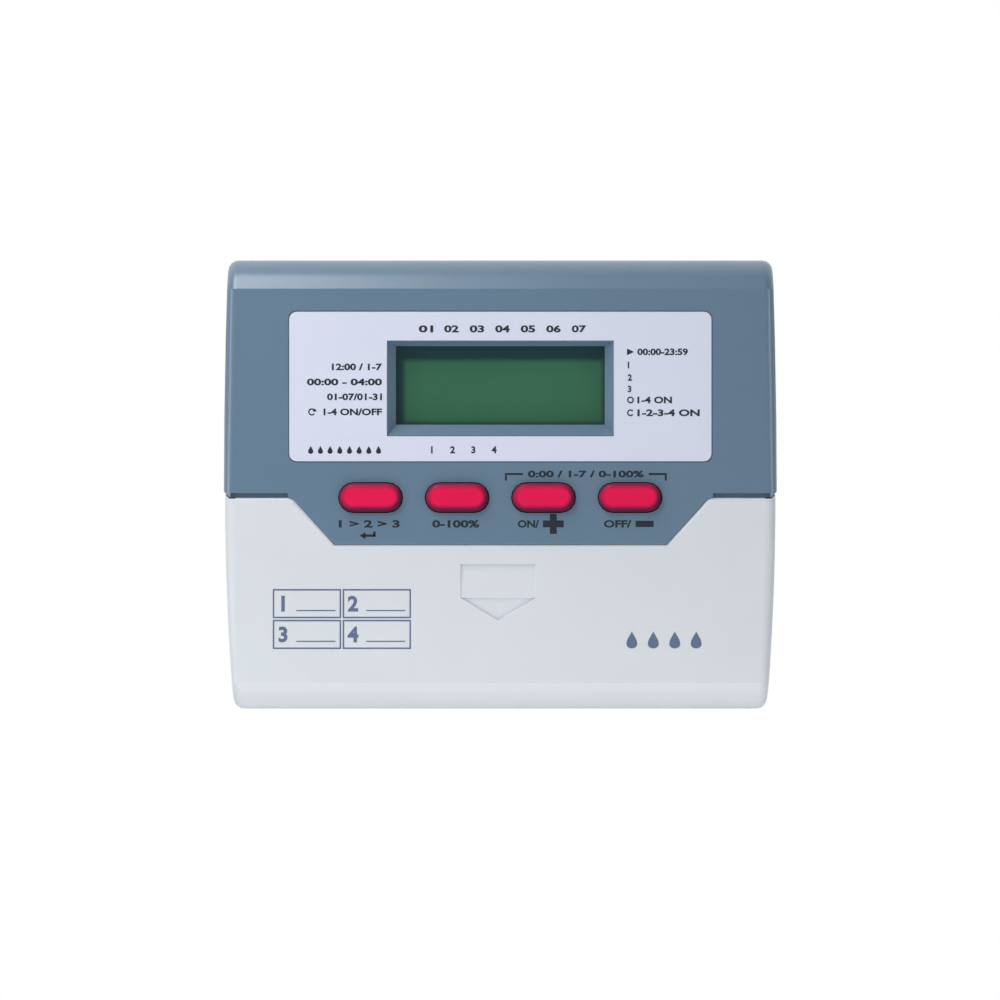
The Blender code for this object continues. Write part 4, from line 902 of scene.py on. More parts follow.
@dataclass
class PrintSheet:
    """Marks printed on one flat front face, gathered into one thin mesh."""

    name: str
    depth: float
    thickness: float = 0.03 * MILLIMETRE
    sink: float = 0.01 * MILLIMETRE
    bold: float = 0.036
    letter_depth: float = 0.5
    letter_steps: int = 3
    ring_steps: int = 24
    drop_steps: int = 28
    drop_width: float = 0.46
    drop_taper: float = 1.6
    work: bmesh.types.BMesh = field(default_factory=bmesh.new)

    def strip(self, outer: Sequence[Point], inner: Sequence[Point]) -> None:
        """Adds a band between two lines of points.

        Args:
            outer: Points along one side.
            inner: As many points along the other side.
        """
        for i in range(len(outer) - 1):
            self.polygon([outer[i], outer[i + 1], inner[i + 1], inner[i]])

    def polygon(self, points: Sequence[Point]) -> None:
        """Adds a filled outline.

        Args:
            points: Its corners as (across, height).
        """
        front = [self.work.verts.new((x, -(self.depth + self.thickness), z)) for x, z in points]
        back = [self.work.verts.new((x, -(self.depth - self.sink), z)) for x, z in points]
        self.work.faces.new(front)
        self.work.faces.new(reversed(back))
        for i in range(len(points)):
            j = (i + 1) % len(points)
            self.work.faces.new((front[j], front[i], back[i], back[j]))

    def bar(self, x: float, z: float, width: float, height: float) -> None:
        """Adds a rectangle about its middle.

        Args:
            x: Middle across.
            z: Middle height.
            width: Width.
            height: Height.
        """
        right, top = width / 2, height / 2
        self.polygon([
            (x - right, z - top), (x + right, z - top), (x + right, z + top), (x - right, z + top),
        ])

    def plus(self, x: float, z: float, width: float, line: float, arm: float) -> None:
        """Adds a plus sign about its middle.

        Args:
            x: Middle across.
            z: Middle height.
            width: Full width.
            line: Width of its bars.
            arm: How far each upright arm stands out from the level bar.
        """
        self.bar(x, z, width, line)
        for side in (-1, 1):
            self.bar(x, z + side * (line + arm) / 2, line, arm)

    def ring(self, x: float, z: float, radius: float, line: float, start: float = 0.0,
             end: float = 2 * math.pi) -> None:
        """Adds a ring or an arc of a ring.

        Args:
            x: Middle across.
            z: Middle height.
            radius: Radius at the middle of the line.
            line: Width of the line.
            start: First angle in radians.
            end: Last angle in radians.
        """
        outer = arc(x, z, radius + line / 2, start, end, self.ring_steps)
        self.strip(outer, arc(x, z, radius - line / 2, start, end, self.ring_steps))

    def frame(self, x: float, z: float, width: float, height: float, line: float) -> None:
        """Adds the outline of a rectangle.

        Args:
            x: Middle across.
            z: Middle height.
            width: Outer width.
            height: Outer height.
            line: Width of the line.
        """
        for side in (-1, 1):
            self.bar(x, z + side * (height - line) / 2, width, line)
            self.bar(x + side * (width - line) / 2, z, line, height - 2 * line)

    def drop(self, x: float, z: float, height: float) -> None:
        """Adds a water drop about its middle.

        Args:
            x: Middle across.
            z: Middle height.
            height: Height.
        """
        points = []
        for index in range(self.drop_steps):
            turn = 2 * math.pi * index / self.drop_steps
            half = self.drop_width * height * math.sin(turn / 2) ** self.drop_taper
            points.append((x + half * math.sin(turn), z + height / 2 * math.cos(turn)))
        self.polygon(points)

    def _letters(self, says: str) -> bpy.types.Mesh:
        """A flat line of letters in Blender's own units, which the caller removes.

        Args:
            says: What it says.

        Returns:
            Its mesh, with a front and a back.
        """
        curve = bpy.data.curves.new("words", "FONT")
        curve.body = says
        curve.offset = self.bold
        curve.extrude = self.letter_depth
        curve.resolution_u = self.letter_steps
        drawn = bpy.data.objects.new("words", curve)
        bpy.context.scene.collection.objects.link(drawn)
        bpy.context.view_layer.update()
        mesh = bpy.data.meshes.new_from_object(drawn.evaluated_get(bpy.context.evaluated_depsgraph_get()))
        bpy.data.objects.remove(drawn)
        return mesh

    def text(self, says: str, x: float, z: float, height: float, width: float = 0.0,
             align: Align = Align.CENTRE) -> None:
        """Adds a line of figures or signs.

        Args:
            says: What it says.
            x: Place across of the end that align names.
            z: Middle height.
            height: Height of the tallest sign.
            width: Full width, or 0 to keep the signs' own proportions.
            align: Which end is at x.
        """
        mesh = self._letters(says)
        across = [vert.co.x for vert in mesh.vertices]
        up = [vert.co.y for vert in mesh.vertices]
        first, last, low, high = min(across), max(across), min(up), max(up)
        tall = height / (high - low)
        wide = width / (last - first) if width else tall
        left = x - align.value * wide * (last - first)
        for vert in mesh.vertices:
            depth = self.depth + self.thickness if vert.co.z > 0 else self.depth - self.sink
            rise = tall * (vert.co.y - (low + high) / 2)
            vert.co = (left + wide * (vert.co.x - first), -depth, z + rise)
        self.work.from_mesh(mesh)
        bpy.data.meshes.remove(mesh)

    def words(self, line: Words, x: float, z: float, height: float, align: Align = Align.CENTRE) -> None:
        """Adds a line of set width near the place it belongs to."""
        self.text(line.says, x + line.across, z + line.up, height, line.width, align)

    def finish(self, shop: Workshop, body: Body, ink: Finish) -> None:
        """Makes the sheet's piece."""
        bmesh.ops.remove_doubles(self.work, verts=self.work.verts, dist=JOIN_DISTANCE)
        shop.piece(self.name, self.work, body, ink)


@dataclass
class CaseShells:
    """The blue-grey shells: front housing, rear case and the deck behind the cover."""

    edge: float = 0.25 * MILLIMETRE

    def build(self, shop: Workshop) -> None:
        """Dresses the shells."""
        shop.dress(HOUSING, "front_housing", "rear_case", "terminal_deck", edge=self.edge)


@dataclass
class DisplayPanel:
    """The pale label with its printing, the window and the display behind it."""

    edge: float = 0.2 * MILLIMETRE
    strip_edge: float = 0.1 * MILLIMETRE
    line: float = 2.1 * MILLIMETRE
    small: float = 2.0 * MILLIMETRE
    days: int = 7
    day_width: float = 4.2 * MILLIMETRE
    day_pitch: float = 7.37 * MILLIMETRE
    day_first: float = -21.5 * MILLIMETRE
    day_rise: float = 16.65 * MILLIMETRE
    left_edge: float = -34.2 * MILLIMETRE
    functions: tuple[Words, ...] = (
        Words("12:00 / 1-7", 14.5 * MILLIMETRE, up=5.66 * MILLIMETRE),
        Words("00:00 - 04:00", 21.7 * MILLIMETRE, up=1.3 * MILLIMETRE),
        Words("01-07/01-31", 15.9 * MILLIMETRE, up=-3.0 * MILLIMETRE),
        Words("1-4 ON/OFF", 16.9 * MILLIMETRE, up=-7.35 * MILLIMETRE),
    )
    cycle_reach: float = 20.3 * MILLIMETRE
    cycle_radius: float = 0.85 * MILLIMETRE
    arrow_inner: float = 0.2 * MILLIMETRE
    arrow_outer: float = 1.5 * MILLIMETRE
    arrow_foot: float = 0.1 * MILLIMETRE
    arrow_tip: float = 1.0 * MILLIMETRE
    right_edge: float = 36.6 * MILLIMETRE
    right_indent: float = 3.0 * MILLIMETRE
    start_window: Words = Words("00:00-23:59", 14.6 * MILLIMETRE, up=10.0 * MILLIMETRE)
    single_run: Words = Words("1-4 ON", 10.0 * MILLIMETRE, up=-3.9 * MILLIMETRE)
    full_cycle: Words = Words("1-2-3-4 ON", 18.0 * MILLIMETRE, up=-7.6 * MILLIMETRE)
    start_rises: tuple[float, ...] = (6.2 * MILLIMETRE, 2.6 * MILLIMETRE, -0.7 * MILLIMETRE)
    start_height: float = 1.9 * MILLIMETRE
    start_indent: float = 0.2 * MILLIMETRE
    sign_width: float = 2.0 * MILLIMETRE
    sign_radius: float = 0.8 * MILLIMETRE
    sign_line: float = 0.4 * MILLIMETRE
    open_ring: Span = (0.6, 5.7)
    stations: int = 4
    station_first: float = -19.8 * MILLIMETRE
    station_pitch: float = 6.0 * MILLIMETRE
    station_drop: float = 18.3 * MILLIMETRE
    drops: int = 8
    drop_first: float = 1.0 * MILLIMETRE
    drop_pitch: float = 2.8 * MILLIMETRE
    drop_height: float = 2.3 * MILLIMETRE
    figure_places: tuple[float, ...] = (
        -15.5 * MILLIMETRE, -6.5 * MILLIMETRE, 4.5 * MILLIMETRE, 13.5 * MILLIMETRE,
    )
    figure_width: float = 5.4 * MILLIMETRE
    figure_height: float = 10.4 * MILLIMETRE
    segment_line: float = 1.0 * MILLIMETRE
    segment_gap: float = 1.4 * MILLIMETRE
    colon_place: float = -1.0 * MILLIMETRE
    colon_rise: float = 2.2 * MILLIMETRE

    def build(self, shop: Workshop) -> None:
        """Dresses the display stack and prints the label.

        Args:
            shop: Workshop that makes the pieces.
        """
        shop.dress(LABEL, "front_label")
        shop.dress(WINDOW, "display_window")
        shop.dress(DISPLAY, "lcd_glass", edge=self.edge)
        shop.dress(WHITE_PART, "lcd_holder", edge=self.edge)
        shop.dress(CONTACT, "upper_contact_strip", "lower_contact_strip", edge=self.strip_edge)
        self._days(shop)
        self._functions(shop)
        self._starts(shop)
        self._stations(shop)
        self._segments(shop)

    def _height(self) -> float:
        """Height of the label's middle."""
        return middle("front_label").z

    def _days(self, shop: Workshop) -> None:
        """Prints the row of day figures above the display.

        Args:
            shop: Workshop that makes the piece.
        """
        sheet = PrintSheet("label_day_marks", front_depth("front_label"))
        z = self._height() + self.day_rise
        for day in range(self.days):
            sheet.text(f"0{day + 1}", self.day_first + day * self.day_pitch, z, self.line, self.day_width)
        sheet.finish(shop, Body.CASE, INK)

    def _functions(self, shop: Workshop) -> None:
        """Prints the column on the left: clock, run time, day cycle and ON/OFF behind a turning arrow.

        Args:
            shop: Workshop that makes the piece.
        """
        sheet = PrintSheet("label_function_marks", front_depth("front_label"))
        for line in self.functions:
            sheet.words(line, self.left_edge, self._height(), self.small, Align.RIGHT)
        x = self.left_edge - self.cycle_reach
        z = self._height() + self.functions[-1].up
        sheet.ring(x, z, self.cycle_radius, self.sign_line, *self.open_ring)
        sheet.polygon([
            (x + self.arrow_inner, z + self.arrow_foot),
            (x + self.arrow_outer, z + self.arrow_foot),
            (x + self.cycle_radius, z + self.arrow_tip),
        ])
        sheet.finish(shop, Body.CASE, INK)

    def _starts(self, shop: Workshop) -> None:
        """Prints the column on the right: starts 1 to 3, one run by hand, and one full cycle.

        Args:
            shop: Workshop that makes the piece.
        """
        sheet = PrintSheet("label_start_marks", front_depth("front_label"))
        x, z = self.right_edge, self._height()
        half = self.sign_width / 2
        level = z + self.start_window.up
        sheet.polygon([(x, level - half), (x + self.sign_width, level), (x, level + half)])
        for index, rise in enumerate(self.start_rises):
            sheet.text(str(index + 1), x + self.start_indent, z + rise, self.start_height, align=Align.LEFT)
        sheet.ring(x + half, z + self.single_run.up, self.sign_radius, self.sign_line)
        sheet.ring(x + half, z + self.full_cycle.up, self.sign_radius, self.sign_line, *self.open_ring)
        for line in (self.start_window, self.single_run, self.full_cycle):
            sheet.words(line, x + self.right_indent, z, self.small, Align.LEFT)
        sheet.finish(shop, Body.CASE, INK)

    def _stations(self, shop: Workshop) -> None:
        """Prints the row below the display: a line of drops that leads to stations 1 to 4.

        Args:
            shop: Workshop that makes the piece.
        """
        sheet = PrintSheet("label_station_marks", front_depth("front_label"))
        z = self._height() - self.station_drop
        for index in range(self.stations):
            sheet.text(str(index + 1), self.station_first + index * self.station_pitch, z, self.line)
        for index in range(self.drops):
            sheet.drop(self.left_edge - self.drop_first - index * self.drop_pitch, z, self.drop_height)
        sheet.finish(shop, Body.CASE, INK)

    def _segments(self, shop: Workshop) -> None:
        """Lays the display's unlit segments: four figures and a colon.

        Args:
            shop: Workshop that makes the piece.
        """
        sheet = PrintSheet("display_segments", front_depth("lcd_glass"))
        z = self._height()
        for x in self.figure_places:
            self._figure(sheet, x, z)
        for side in (-1, 1):
            sheet.bar(self.colon_place, z + side * self.colon_rise, self.segment_line, self.segment_line)
        sheet.finish(shop, Body.CASE, SEGMENT)

    def _figure(self, sheet: PrintSheet, x: float, z: float) -> None:
        """Adds the seven bars of one figure.

        Args:
            sheet: Sheet that takes them.
            x: Middle across.
            z: Middle height.
        """
        level = self.figure_width - self.segment_gap
        upright = self.figure_height / 2 - self.segment_gap
        for rise in (-self.figure_height / 2, 0.0, self.figure_height / 2):
            sheet.bar(x, z + rise, level, self.segment_line)
        for across in (-self.figure_width / 2, self.figure_width / 2):
            for rise in (-self.figure_height / 4, self.figure_height / 4):
                sheet.bar(x + across, z + rise, self.segment_line, upright)


@dataclass
class KeyRow:
    """The four keys, their switches and the marks round them."""

    names: tuple[str, ...] = ("enter", "percent", "plus", "minus")
    edge: float = 0.15 * MILLIMETRE
    legends: tuple[Words, ...] = (
        Words("1 > 2 > 3", 17.6 * MILLIMETRE, across=-0.4 * MILLIMETRE),
        Words("0-100%", 13.6 * MILLIMETRE, across=-0.4 * MILLIMETRE),
        Words("ON/", 6.2 * MILLIMETRE, across=-4.4 * MILLIMETRE),
        Words("OFF/", 8.0 * MILLIMETRE, across=-3.6 * MILLIMETRE),
    )
    legend_drop: float = 7.6 * MILLIMETRE
    line: float = 2.2 * MILLIMETRE
    return_drop: float = 3.4 * MILLIMETRE
    return_line: float = 0.7 * MILLIMETRE
    shaft_place: float = -0.2 * MILLIMETRE
    shaft_length: float = 3.2 * MILLIMETRE
    hook_place: float = 1.1 * MILLIMETRE
    hook_rise: float = 0.5 * MILLIMETRE
    hook_length: float = 1.4 * MILLIMETRE
    head_tip: float = -3.2 * MILLIMETRE
    head_back: float = -1.5 * MILLIMETRE
    head_half: float = 1.0 * MILLIMETRE
    plus_place: float = 2.8 * MILLIMETRE
    plus_width: float = 6.0 * MILLIMETRE
    plus_line: float = 2.0 * MILLIMETRE
    plus_arm: float = 1.9 * MILLIMETRE
    minus_place: float = 4.2 * MILLIMETRE
    minus_width: float = 5.2 * MILLIMETRE
    minus_line: float = 1.8 * MILLIMETRE
    bracket_words: Words = Words("0:00 / 1-7 / 0-100%", 33.5 * MILLIMETRE)
    bracket_height: float = 2.0 * MILLIMETRE
    bracket_rise: float = 6.8 * MILLIMETRE
    bracket_left: float = 1.3 * MILLIMETRE
    bracket_right: float = 48.1 * MILLIMETRE
    bracket_run: float = 5.2 * MILLIMETRE
    bracket_end: float = 1.6 * MILLIMETRE
    bracket_line: float = 0.6 * MILLIMETRE

    def build(self, shop: Workshop) -> None:
        """Dresses the keys and prints the marks.

        Args:
            shop: Workshop that makes the pieces.
        """
        for name in self.names:
            shop.dress(KEY, f"{name}_key", edge=self.edge)
            shop.dress(BLACK_PART, f"{name}_switch", edge=self.edge)
            shop.dress(WHITE_PART, f"{name}_plunger", edge=self.edge)
        self._legends(shop)
        self._bracket(shop)

    def _legends(self, shop: Workshop) -> None:
        """Prints the marks below the keys.

        Args:
            shop: Workshop that makes the piece.
        """
        sheet = PrintSheet("key_legends", front_depth("front_housing"))
        enter, percent, plus, minus = [middle(f"{name}_key").x for name in self.names]
        z = middle("enter_key").z - self.legend_drop
        for line, x in zip(self.legends, (enter, percent, plus, minus)):
            sheet.words(line, x, z, self.line)
        self._return_arrow(sheet, enter, z - self.return_drop)
        sheet.plus(plus + self.plus_place, z, self.plus_width, self.plus_line, self.plus_arm)
        sheet.bar(minus + self.minus_place, z, self.minus_width, self.minus_line)
        sheet.finish(shop, Body.CASE, INK)

    def _return_arrow(self, sheet: PrintSheet, x: float, z: float) -> None:
        """Adds the hooked arrow of the enter key.

        Args:
            sheet: Sheet that takes it.
            x: Middle of the key across.
            z: Height of the arrow's shaft.
        """
        sheet.bar(x + self.shaft_place, z, self.shaft_length, self.return_line)
        sheet.bar(x + self.hook_place, z + self.hook_rise, self.return_line, self.hook_length)
        back = x + self.head_back
        sheet.polygon([(x + self.head_tip, z), (back, z - self.head_half), (back, z + self.head_half)])

    def _bracket(self, shop: Workshop) -> None:
        """Prints the bracket that ties the last two keys together.

        Args:
            shop: Workshop that makes the piece.
        """
        sheet = PrintSheet("key_bracket", front_depth("front_housing"))
        z = middle("enter_key").z + self.bracket_rise
        line = self.bracket_line
        for end, side in ((self.bracket_left, 1), (self.bracket_right, -1)):
            sheet.bar(end + side * self.bracket_run / 2, z, self.bracket_run, line)
            sheet.bar(end + side * line / 2, z - (line + self.bracket_end) / 2, line, self.bracket_end)
        sheet.words(self.bracket_words, (self.bracket_left + self.bracket_right) / 2, z, self.bracket_height)
        sheet.finish(shop, Body.CASE, INK)


@dataclass
class TerminalCover:
    """The pale sliding cover with a write-on station card and a row of drops."""

    edge: float = 0.2 * MILLIMETRE
    card_left: float = -66.0 * MILLIMETRE
    card_width: float = 40.4 * MILLIMETRE
    card_height: float = 17.8 * MILLIMETRE
    card_middle: float = -38.9 * MILLIMETRE
    card_line: float = 0.45 * MILLIMETRE
    card_boxes: int = 4
    card_columns: int = 2
    number_place: float = 3.2 * MILLIMETRE
    number_height: float = 4.6 * MILLIMETRE
    rule_shift: float = 2.6 * MILLIMETRE
    rule_drop: float = 2.0 * MILLIMETRE
    rule_share: float = 0.56
    rule_line: float = 0.35 * MILLIMETRE
    drops: int = 4
    drops_left: float = 38.0 * MILLIMETRE
    drops_middle: float = -44.9 * MILLIMETRE
    drop_pitch: float = 6.2 * MILLIMETRE
    drop_height: float = 5.0 * MILLIMETRE
    bay_half: float = 48.0 * MILLIMETRE
    bay_low: float = -17.3 * MILLIMETRE
    bay_run: float = 12.2 * MILLIMETRE
    bay_corner: float = 2.5 * MILLIMETRE
    bay_steps: int = 6
    seam_height: float = -3.8 * MILLIMETRE
    seam_end: float = 76.6 * MILLIMETRE
    lip_near: float = 0.08 * MILLIMETRE
    lip_far: float = 0.60 * MILLIMETRE
    lip_soft: float = 0.13 * MILLIMETRE
    lip_sink: float = 0.50 * MILLIMETRE
    lip_thick: float = 1.20 * MILLIMETRE

    def build(self, shop: Workshop) -> None:
        """Dresses the cover, prints it and adds its lip.

        Args:
            shop: Workshop that makes the pieces.
        """
        shop.dress(COVER, "terminal_cover", edge=self.edge)
        depth = front_depth("terminal_cover")
        self._card(shop, depth)
        drops = PrintSheet("cover_drops", depth)
        for index in range(self.drops):
            drops.drop(self.drops_left + index * self.drop_pitch, self.drops_middle, self.drop_height)
        drops.finish(shop, Body.COVER, BLUE_INK)
        self._lip(shop, depth)

    def _card(self, shop: Workshop, depth: float) -> None:
        """Prints the card: two columns of numbered lines to write on.

        Args:
            shop: Workshop that makes the piece.
            depth: Depth of the cover's face.
        """
        sheet = PrintSheet("cover_station_card", depth)
        wide = self.card_width / self.card_columns
        tall = self.card_height * self.card_columns / self.card_boxes
        top = self.card_middle + self.card_height / 2
        for index in range(self.card_boxes):
            row, column = divmod(index, self.card_columns)
            left = self.card_left + column * wide
            x, z = left + wide / 2, top - (row + 0.5) * tall
            sheet.frame(x, z, wide - self.card_line, tall - self.card_line, self.card_line)
            sheet.text(str(index + 1), left + self.number_place, z, self.number_height)
            sheet.bar(x + self.rule_shift, z - self.rule_drop, wide * self.rule_share, self.rule_line)
        sheet.finish(shop, Body.COVER, BLUE_INK)

    def _seam(self) -> list[Point]:
        """The housing's lower edge, round the button bay.

        Returns:
            Points along it from left to right.
        """
        turn = math.atan2(self.seam_height - self.bay_low, self.bay_run)
        x = self.bay_half + self.bay_run + self.bay_corner * math.tan(turn / 2)
        z = self.seam_height - self.bay_corner
        bend = arc(x, z, self.bay_corner, math.pi / 2 + turn, math.pi / 2, self.bay_steps)
        right = [(self.bay_half, self.bay_low), *bend, (self.seam_end, self.seam_height)]
        return [(-x, z) for x, z in reversed(right)] + right

    def _lip(self, shop: Workshop, depth: float) -> None:
        """Adds the thin lip on the cover's upper edge that closes the seam under the housing.

        Args:
            shop: Workshop that makes the piece.
            depth: Depth of the cover's face.
        """
        high = depth - self.lip_sink
        low = high - self.lip_thick
        section = (
            (self.lip_near, low),
            (self.lip_near, high - self.lip_soft),
            (self.lip_near + self.lip_soft, high),
            (self.lip_far, high),
            (self.lip_far, low),
        )
        work = bmesh.new()
        rows = []
        for distance, level in section:
            line = beside(self._seam(), distance)
            rows.append([work.verts.new((x, -level, z)) for x, z in line])
        for near, far in zip(rows, rows[1:] + rows[:1]):
            for i in range(len(near) - 1):
                work.faces.new((near[i], near[i + 1], far[i + 1], far[i]))
        for end in (0, -1):
            work.faces.new([row[end] for row in rows])
        shop.piece("cover_lip", work, Body.COVER, COVER)


@dataclass
class WiringBay:
    """What the cover hides: terminals, battery and the leads between it and the board."""

    edge: float = 0.2 * MILLIMETRE
    screw_edge: float = 0.1 * MILLIMETRE
    poles: int = 8
    stud_length: float = 2.2 * MILLIMETRE
    jacket_tone: Tone = Tone(58, 60, 66)
    rim_width: float = 0.5 * MILLIMETRE
    stripe_place: float = 11.0 * MILLIMETRE
    stripe_width: float = 1.0 * MILLIMETRE
    past_end: float = 1.0 * MILLIMETRE
    sign_place: float = 5.5 * MILLIMETRE
    sign_rise: float = 6.35 * MILLIMETRE
    sign_width: float = 4.0 * MILLIMETRE
    sign_line: float = 1.0 * MILLIMETRE
    sign_arm: float = 1.5 * MILLIMETRE
    cage_width: float = 3.2 * MILLIMETRE
    cage_wall: float = 0.4 * MILLIMETRE
    cage_inset: float = 2.2 * MILLIMETRE
    cage_rise: float = 1.0 * MILLIMETRE
    cage_height: float = 5.0 * MILLIMETRE
    ridge_half: float = 0.3 * MILLIMETRE
    ridge_sink: float = 0.15 * MILLIMETRE
    ridge_rise: float = 0.5 * MILLIMETRE
    ridge_edge: float = 0.12 * MILLIMETRE
    deck_face: float = 27.0 * MILLIMETRE
    number_rise: float = 3.6 * MILLIMETRE
    number_height: float = 2.6 * MILLIMETRE

    def build(self, shop: Workshop) -> None:
        """Dresses the bay and adds its small parts.

        Args:
            shop: Workshop that makes the pieces.
        """
        shop.dress(TERMINAL, "terminal_block", edge=self.edge)
        shop.dress(STEEL, *numbered("clamp_screw", self.poles), edge=self.screw_edge)
        self._battery(shop)
        shop.dress(BLACK_PART, "battery_snap", edge=self.edge)
        shop.dress(RED_WIRE, "battery_lead_plus")
        shop.dress(BLACK_WIRE, "battery_lead_minus")
        self._cages(shop)
        self._ridges(shop)
        self._numbers(shop)

    def _battery(self, shop: Workshop) -> None:
        """Dresses the battery in a dark jacket with bright bands, and prints its two signs.

        Args:
            shop: Workshop that makes the piece.
        """
        low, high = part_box("battery")
        top = low.x + self.stud_length
        stripe = top + self.stripe_place
        bright = (
            (low.x - self.past_end, top + self.rim_width),
            (stripe, stripe + self.stripe_width),
            (high.x - self.rim_width, high.x + self.past_end),
        )
        jacket = BandFinish("battery_jacket", self.jacket_tone, "battery", roughness=0.34, grain_depth=0.04,
                            drift=0.06, bands=bright)
        shop.dress(jacket, "battery", edge=self.edge)
        sheet = PrintSheet("battery_signs", front_depth("battery"))
        x, z = top + self.sign_place, middle("battery").z
        sheet.bar(x, z - self.sign_rise, self.sign_width, self.sign_line)
        sheet.plus(x, z + self.sign_rise, self.sign_width, self.sign_line, self.sign_arm)
        sheet.finish(shop, Body.CASE, WHITE_PART)

    def _poles(self) -> list[float]:
        """Places across of the terminals."""
        return [middle(name).x for name in numbered("clamp_screw", self.poles)]

    def _cages(self, shop: Workshop) -> None:
        """Adds the plated cages that the clamp screws close on the wires.

        Args:
            shop: Workshop that makes the piece.
        """
        low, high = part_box("terminal_block")
        back = high.y - self.cage_inset
        wide, wall = self.cage_width, self.cage_wall
        cheek = Vector((wall, wide, self.cage_height))
        plate = Vector((wide - 2 * wall, wall, self.cage_height))
        work = bmesh.new()
        for x in self._poles():
            corner = Vector((x - wide / 2, back - wide, low.z + self.cage_rise))
            for across in (0.0, wide - wall):
                start = corner + Vector((across, 0.0, 0.0))
                add_box(work, start, start + cheek)
            for inwards in (0.0, wide - wall):
                start = corner + Vector((wall, inwards, 0.0))
                add_box(work, start, start + plate)
        bmesh.ops.remove_doubles(work, verts=work.verts, dist=JOIN_DISTANCE)
        shop.piece("terminal_cages", work, Body.CASE, STEEL)

    def _ridges(self, shop: Workshop) -> None:
        """Adds the ridges that part the terminals.

        Args:
            shop: Workshop that makes the piece.
        """
        low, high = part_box("terminal_block")
        poles = self._poles()
        work = bmesh.new()
        for first, second in zip(poles, poles[1:]):
            x = (first + second) / 2
            start = Vector((x - self.ridge_half, low.y - self.ridge_rise, low.z + self.ridge_rise))
            end = Vector((x + self.ridge_half, low.y + self.ridge_sink, high.z - self.ridge_rise))
            add_box(work, start, end, self.ridge_edge)
        shop.piece("terminal_ridges", work, Body.CASE, TERMINAL)

    def _numbers(self, shop: Workshop) -> None:
        """Prints the terminals' numbers on the deck above them.

        Args:
            shop: Workshop that makes the piece.
        """
        sheet = PrintSheet("terminal_numbers", self.deck_face)
        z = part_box("terminal_block")[1].z + self.number_rise
        for index, x in enumerate(self._poles()):
            sheet.text(str(index + 1), x, z, self.number_height)
        sheet.finish(shop, Body.CASE, INK)


@dataclass
class MainBoard:
    """The circuit board and the parts soldered to its back."""

    edge: float = 0.12 * MILLIMETRE
    board_edge: float = 0.05 * MILLIMETRE
    triacs: int = 4
    screws: int = 4
    fuse_tone: Tone = Tone(206, 214, 211)
    fuse_cap: float = 5.0 * MILLIMETRE
    past_end: float = 1.0 * MILLIMETRE
    legs: int = 11
    leg_sides: int = 4
    leg_pitch: float = 1.0 * MILLIMETRE
    leg_width: float = 0.4 * MILLIMETRE
    leg_thick: float = 0.15 * MILLIMETRE
    leg_shoulder: float = 0.39 * MILLIMETRE
    leg_ankle: float = 0.65 * MILLIMETRE
    leg_reach: float = 1.3 * MILLIMETRE

    def build(self, shop: Workshop) -> None:
        """Dresses the board and its parts.

        Args:
            shop: Workshop that makes the pieces.
        """
        shop.dress(BOARD, "main_board", edge=self.board_edge)
        black = ("controller_chip", "bridge_rectifier", *numbered("valve_triac", self.triacs))
        shop.dress(BLACK_PART, *black, edge=self.edge)
        shop.dress(CAN, "timing_crystal", edge=self.edge)
        shop.dress(SLEEVE, "smoothing_capacitor", edge=self.edge)
        low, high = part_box("fuse")
        caps = (
            (low.x - self.past_end, low.x + self.fuse_cap),
            (high.x - self.fuse_cap, high.x + self.past_end),
        )
        glass = BandFinish("fuse_glass", self.fuse_tone, "fuse", roughness=0.16, grain_depth=0.02,
                           bands=caps)
        shop.dress(glass, "fuse", edge=self.edge)
        steel = ("fuse_clip_left", "fuse_clip_right", *numbered("board_screw", self.screws))
        shop.dress(STEEL, *steel, edge=self.edge)
        self._legs(shop)

    def _legs(self, shop: Workshop) -> None:
        """Adds the controller chip's bent legs, soldered flat to the board on all four sides.

        Args:
            shop: Workshop that makes the piece.
        """
        low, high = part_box("controller_chip")
        centre = (low + high) / 2
        waist = centre.y
        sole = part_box("main_board")[1].y + self.leg_thick / 2
        line = [(0.0, waist), (self.leg_shoulder, waist), (self.leg_ankle, sole), (self.leg_reach, sole)]
        outline = beside(line, -self.leg_thick / 2) + beside(line, self.leg_thick / 2)[::-1]
        work = bmesh.new()
        for side in range(self.leg_sides):
            turn = Matrix.Rotation(side * 2 * math.pi / self.leg_sides, 3, "Y")
            outwards, along = turn @ Vector((1, 0, 0)), turn @ Vector((0, 0, 1))
            face = Vector((centre.x, 0, centre.z)) + outwards * (high.x - low.x) / 2
            for index in range(self.legs):
                place = (index - (self.legs - 1) / 2) * self.leg_pitch
                flanks = []
                for edge in (-self.leg_width / 2, self.leg_width / 2):
                    start = face + along * (place + edge)
                    points = [start + outwards * out + Vector((0, y, 0)) for out, y in outline]
                    flanks.append([work.verts.new(point) for point in points])
                    work.faces.new(flanks[-1])
                first, second = flanks
                for k in range(len(outline)):
                    work.faces.new((first[k - 1], first[k], second[k], second[k - 1]))
        shop.piece("chip_legs", work, Body.CASE, STEEL)


@dataclass
class RearFixings:
    """The case screws and the rubber lining of the cable entry."""

    screws: int = 4
    screw_edge: float = 0.1 * MILLIMETRE
    grommet_edge: float = 0.15 * MILLIMETRE

    def build(self, shop: Workshop) -> None:
        """Dresses the screws and the grommet."""
        shop.dress(STEEL, *numbered("case_screw", self.screws), edge=self.screw_edge)
        shop.dress(RUBBER, "cable_grommet", edge=self.grommet_edge)


@dataclass(frozen=True)
class Softbox:
    """A soft rectangular lamp."""

    name: str
    place: tuple[float, float, float]
    width: float
    height: float
    power: float
    aim: tuple[float, float, float] = (0.0, 0.0, 0.0)


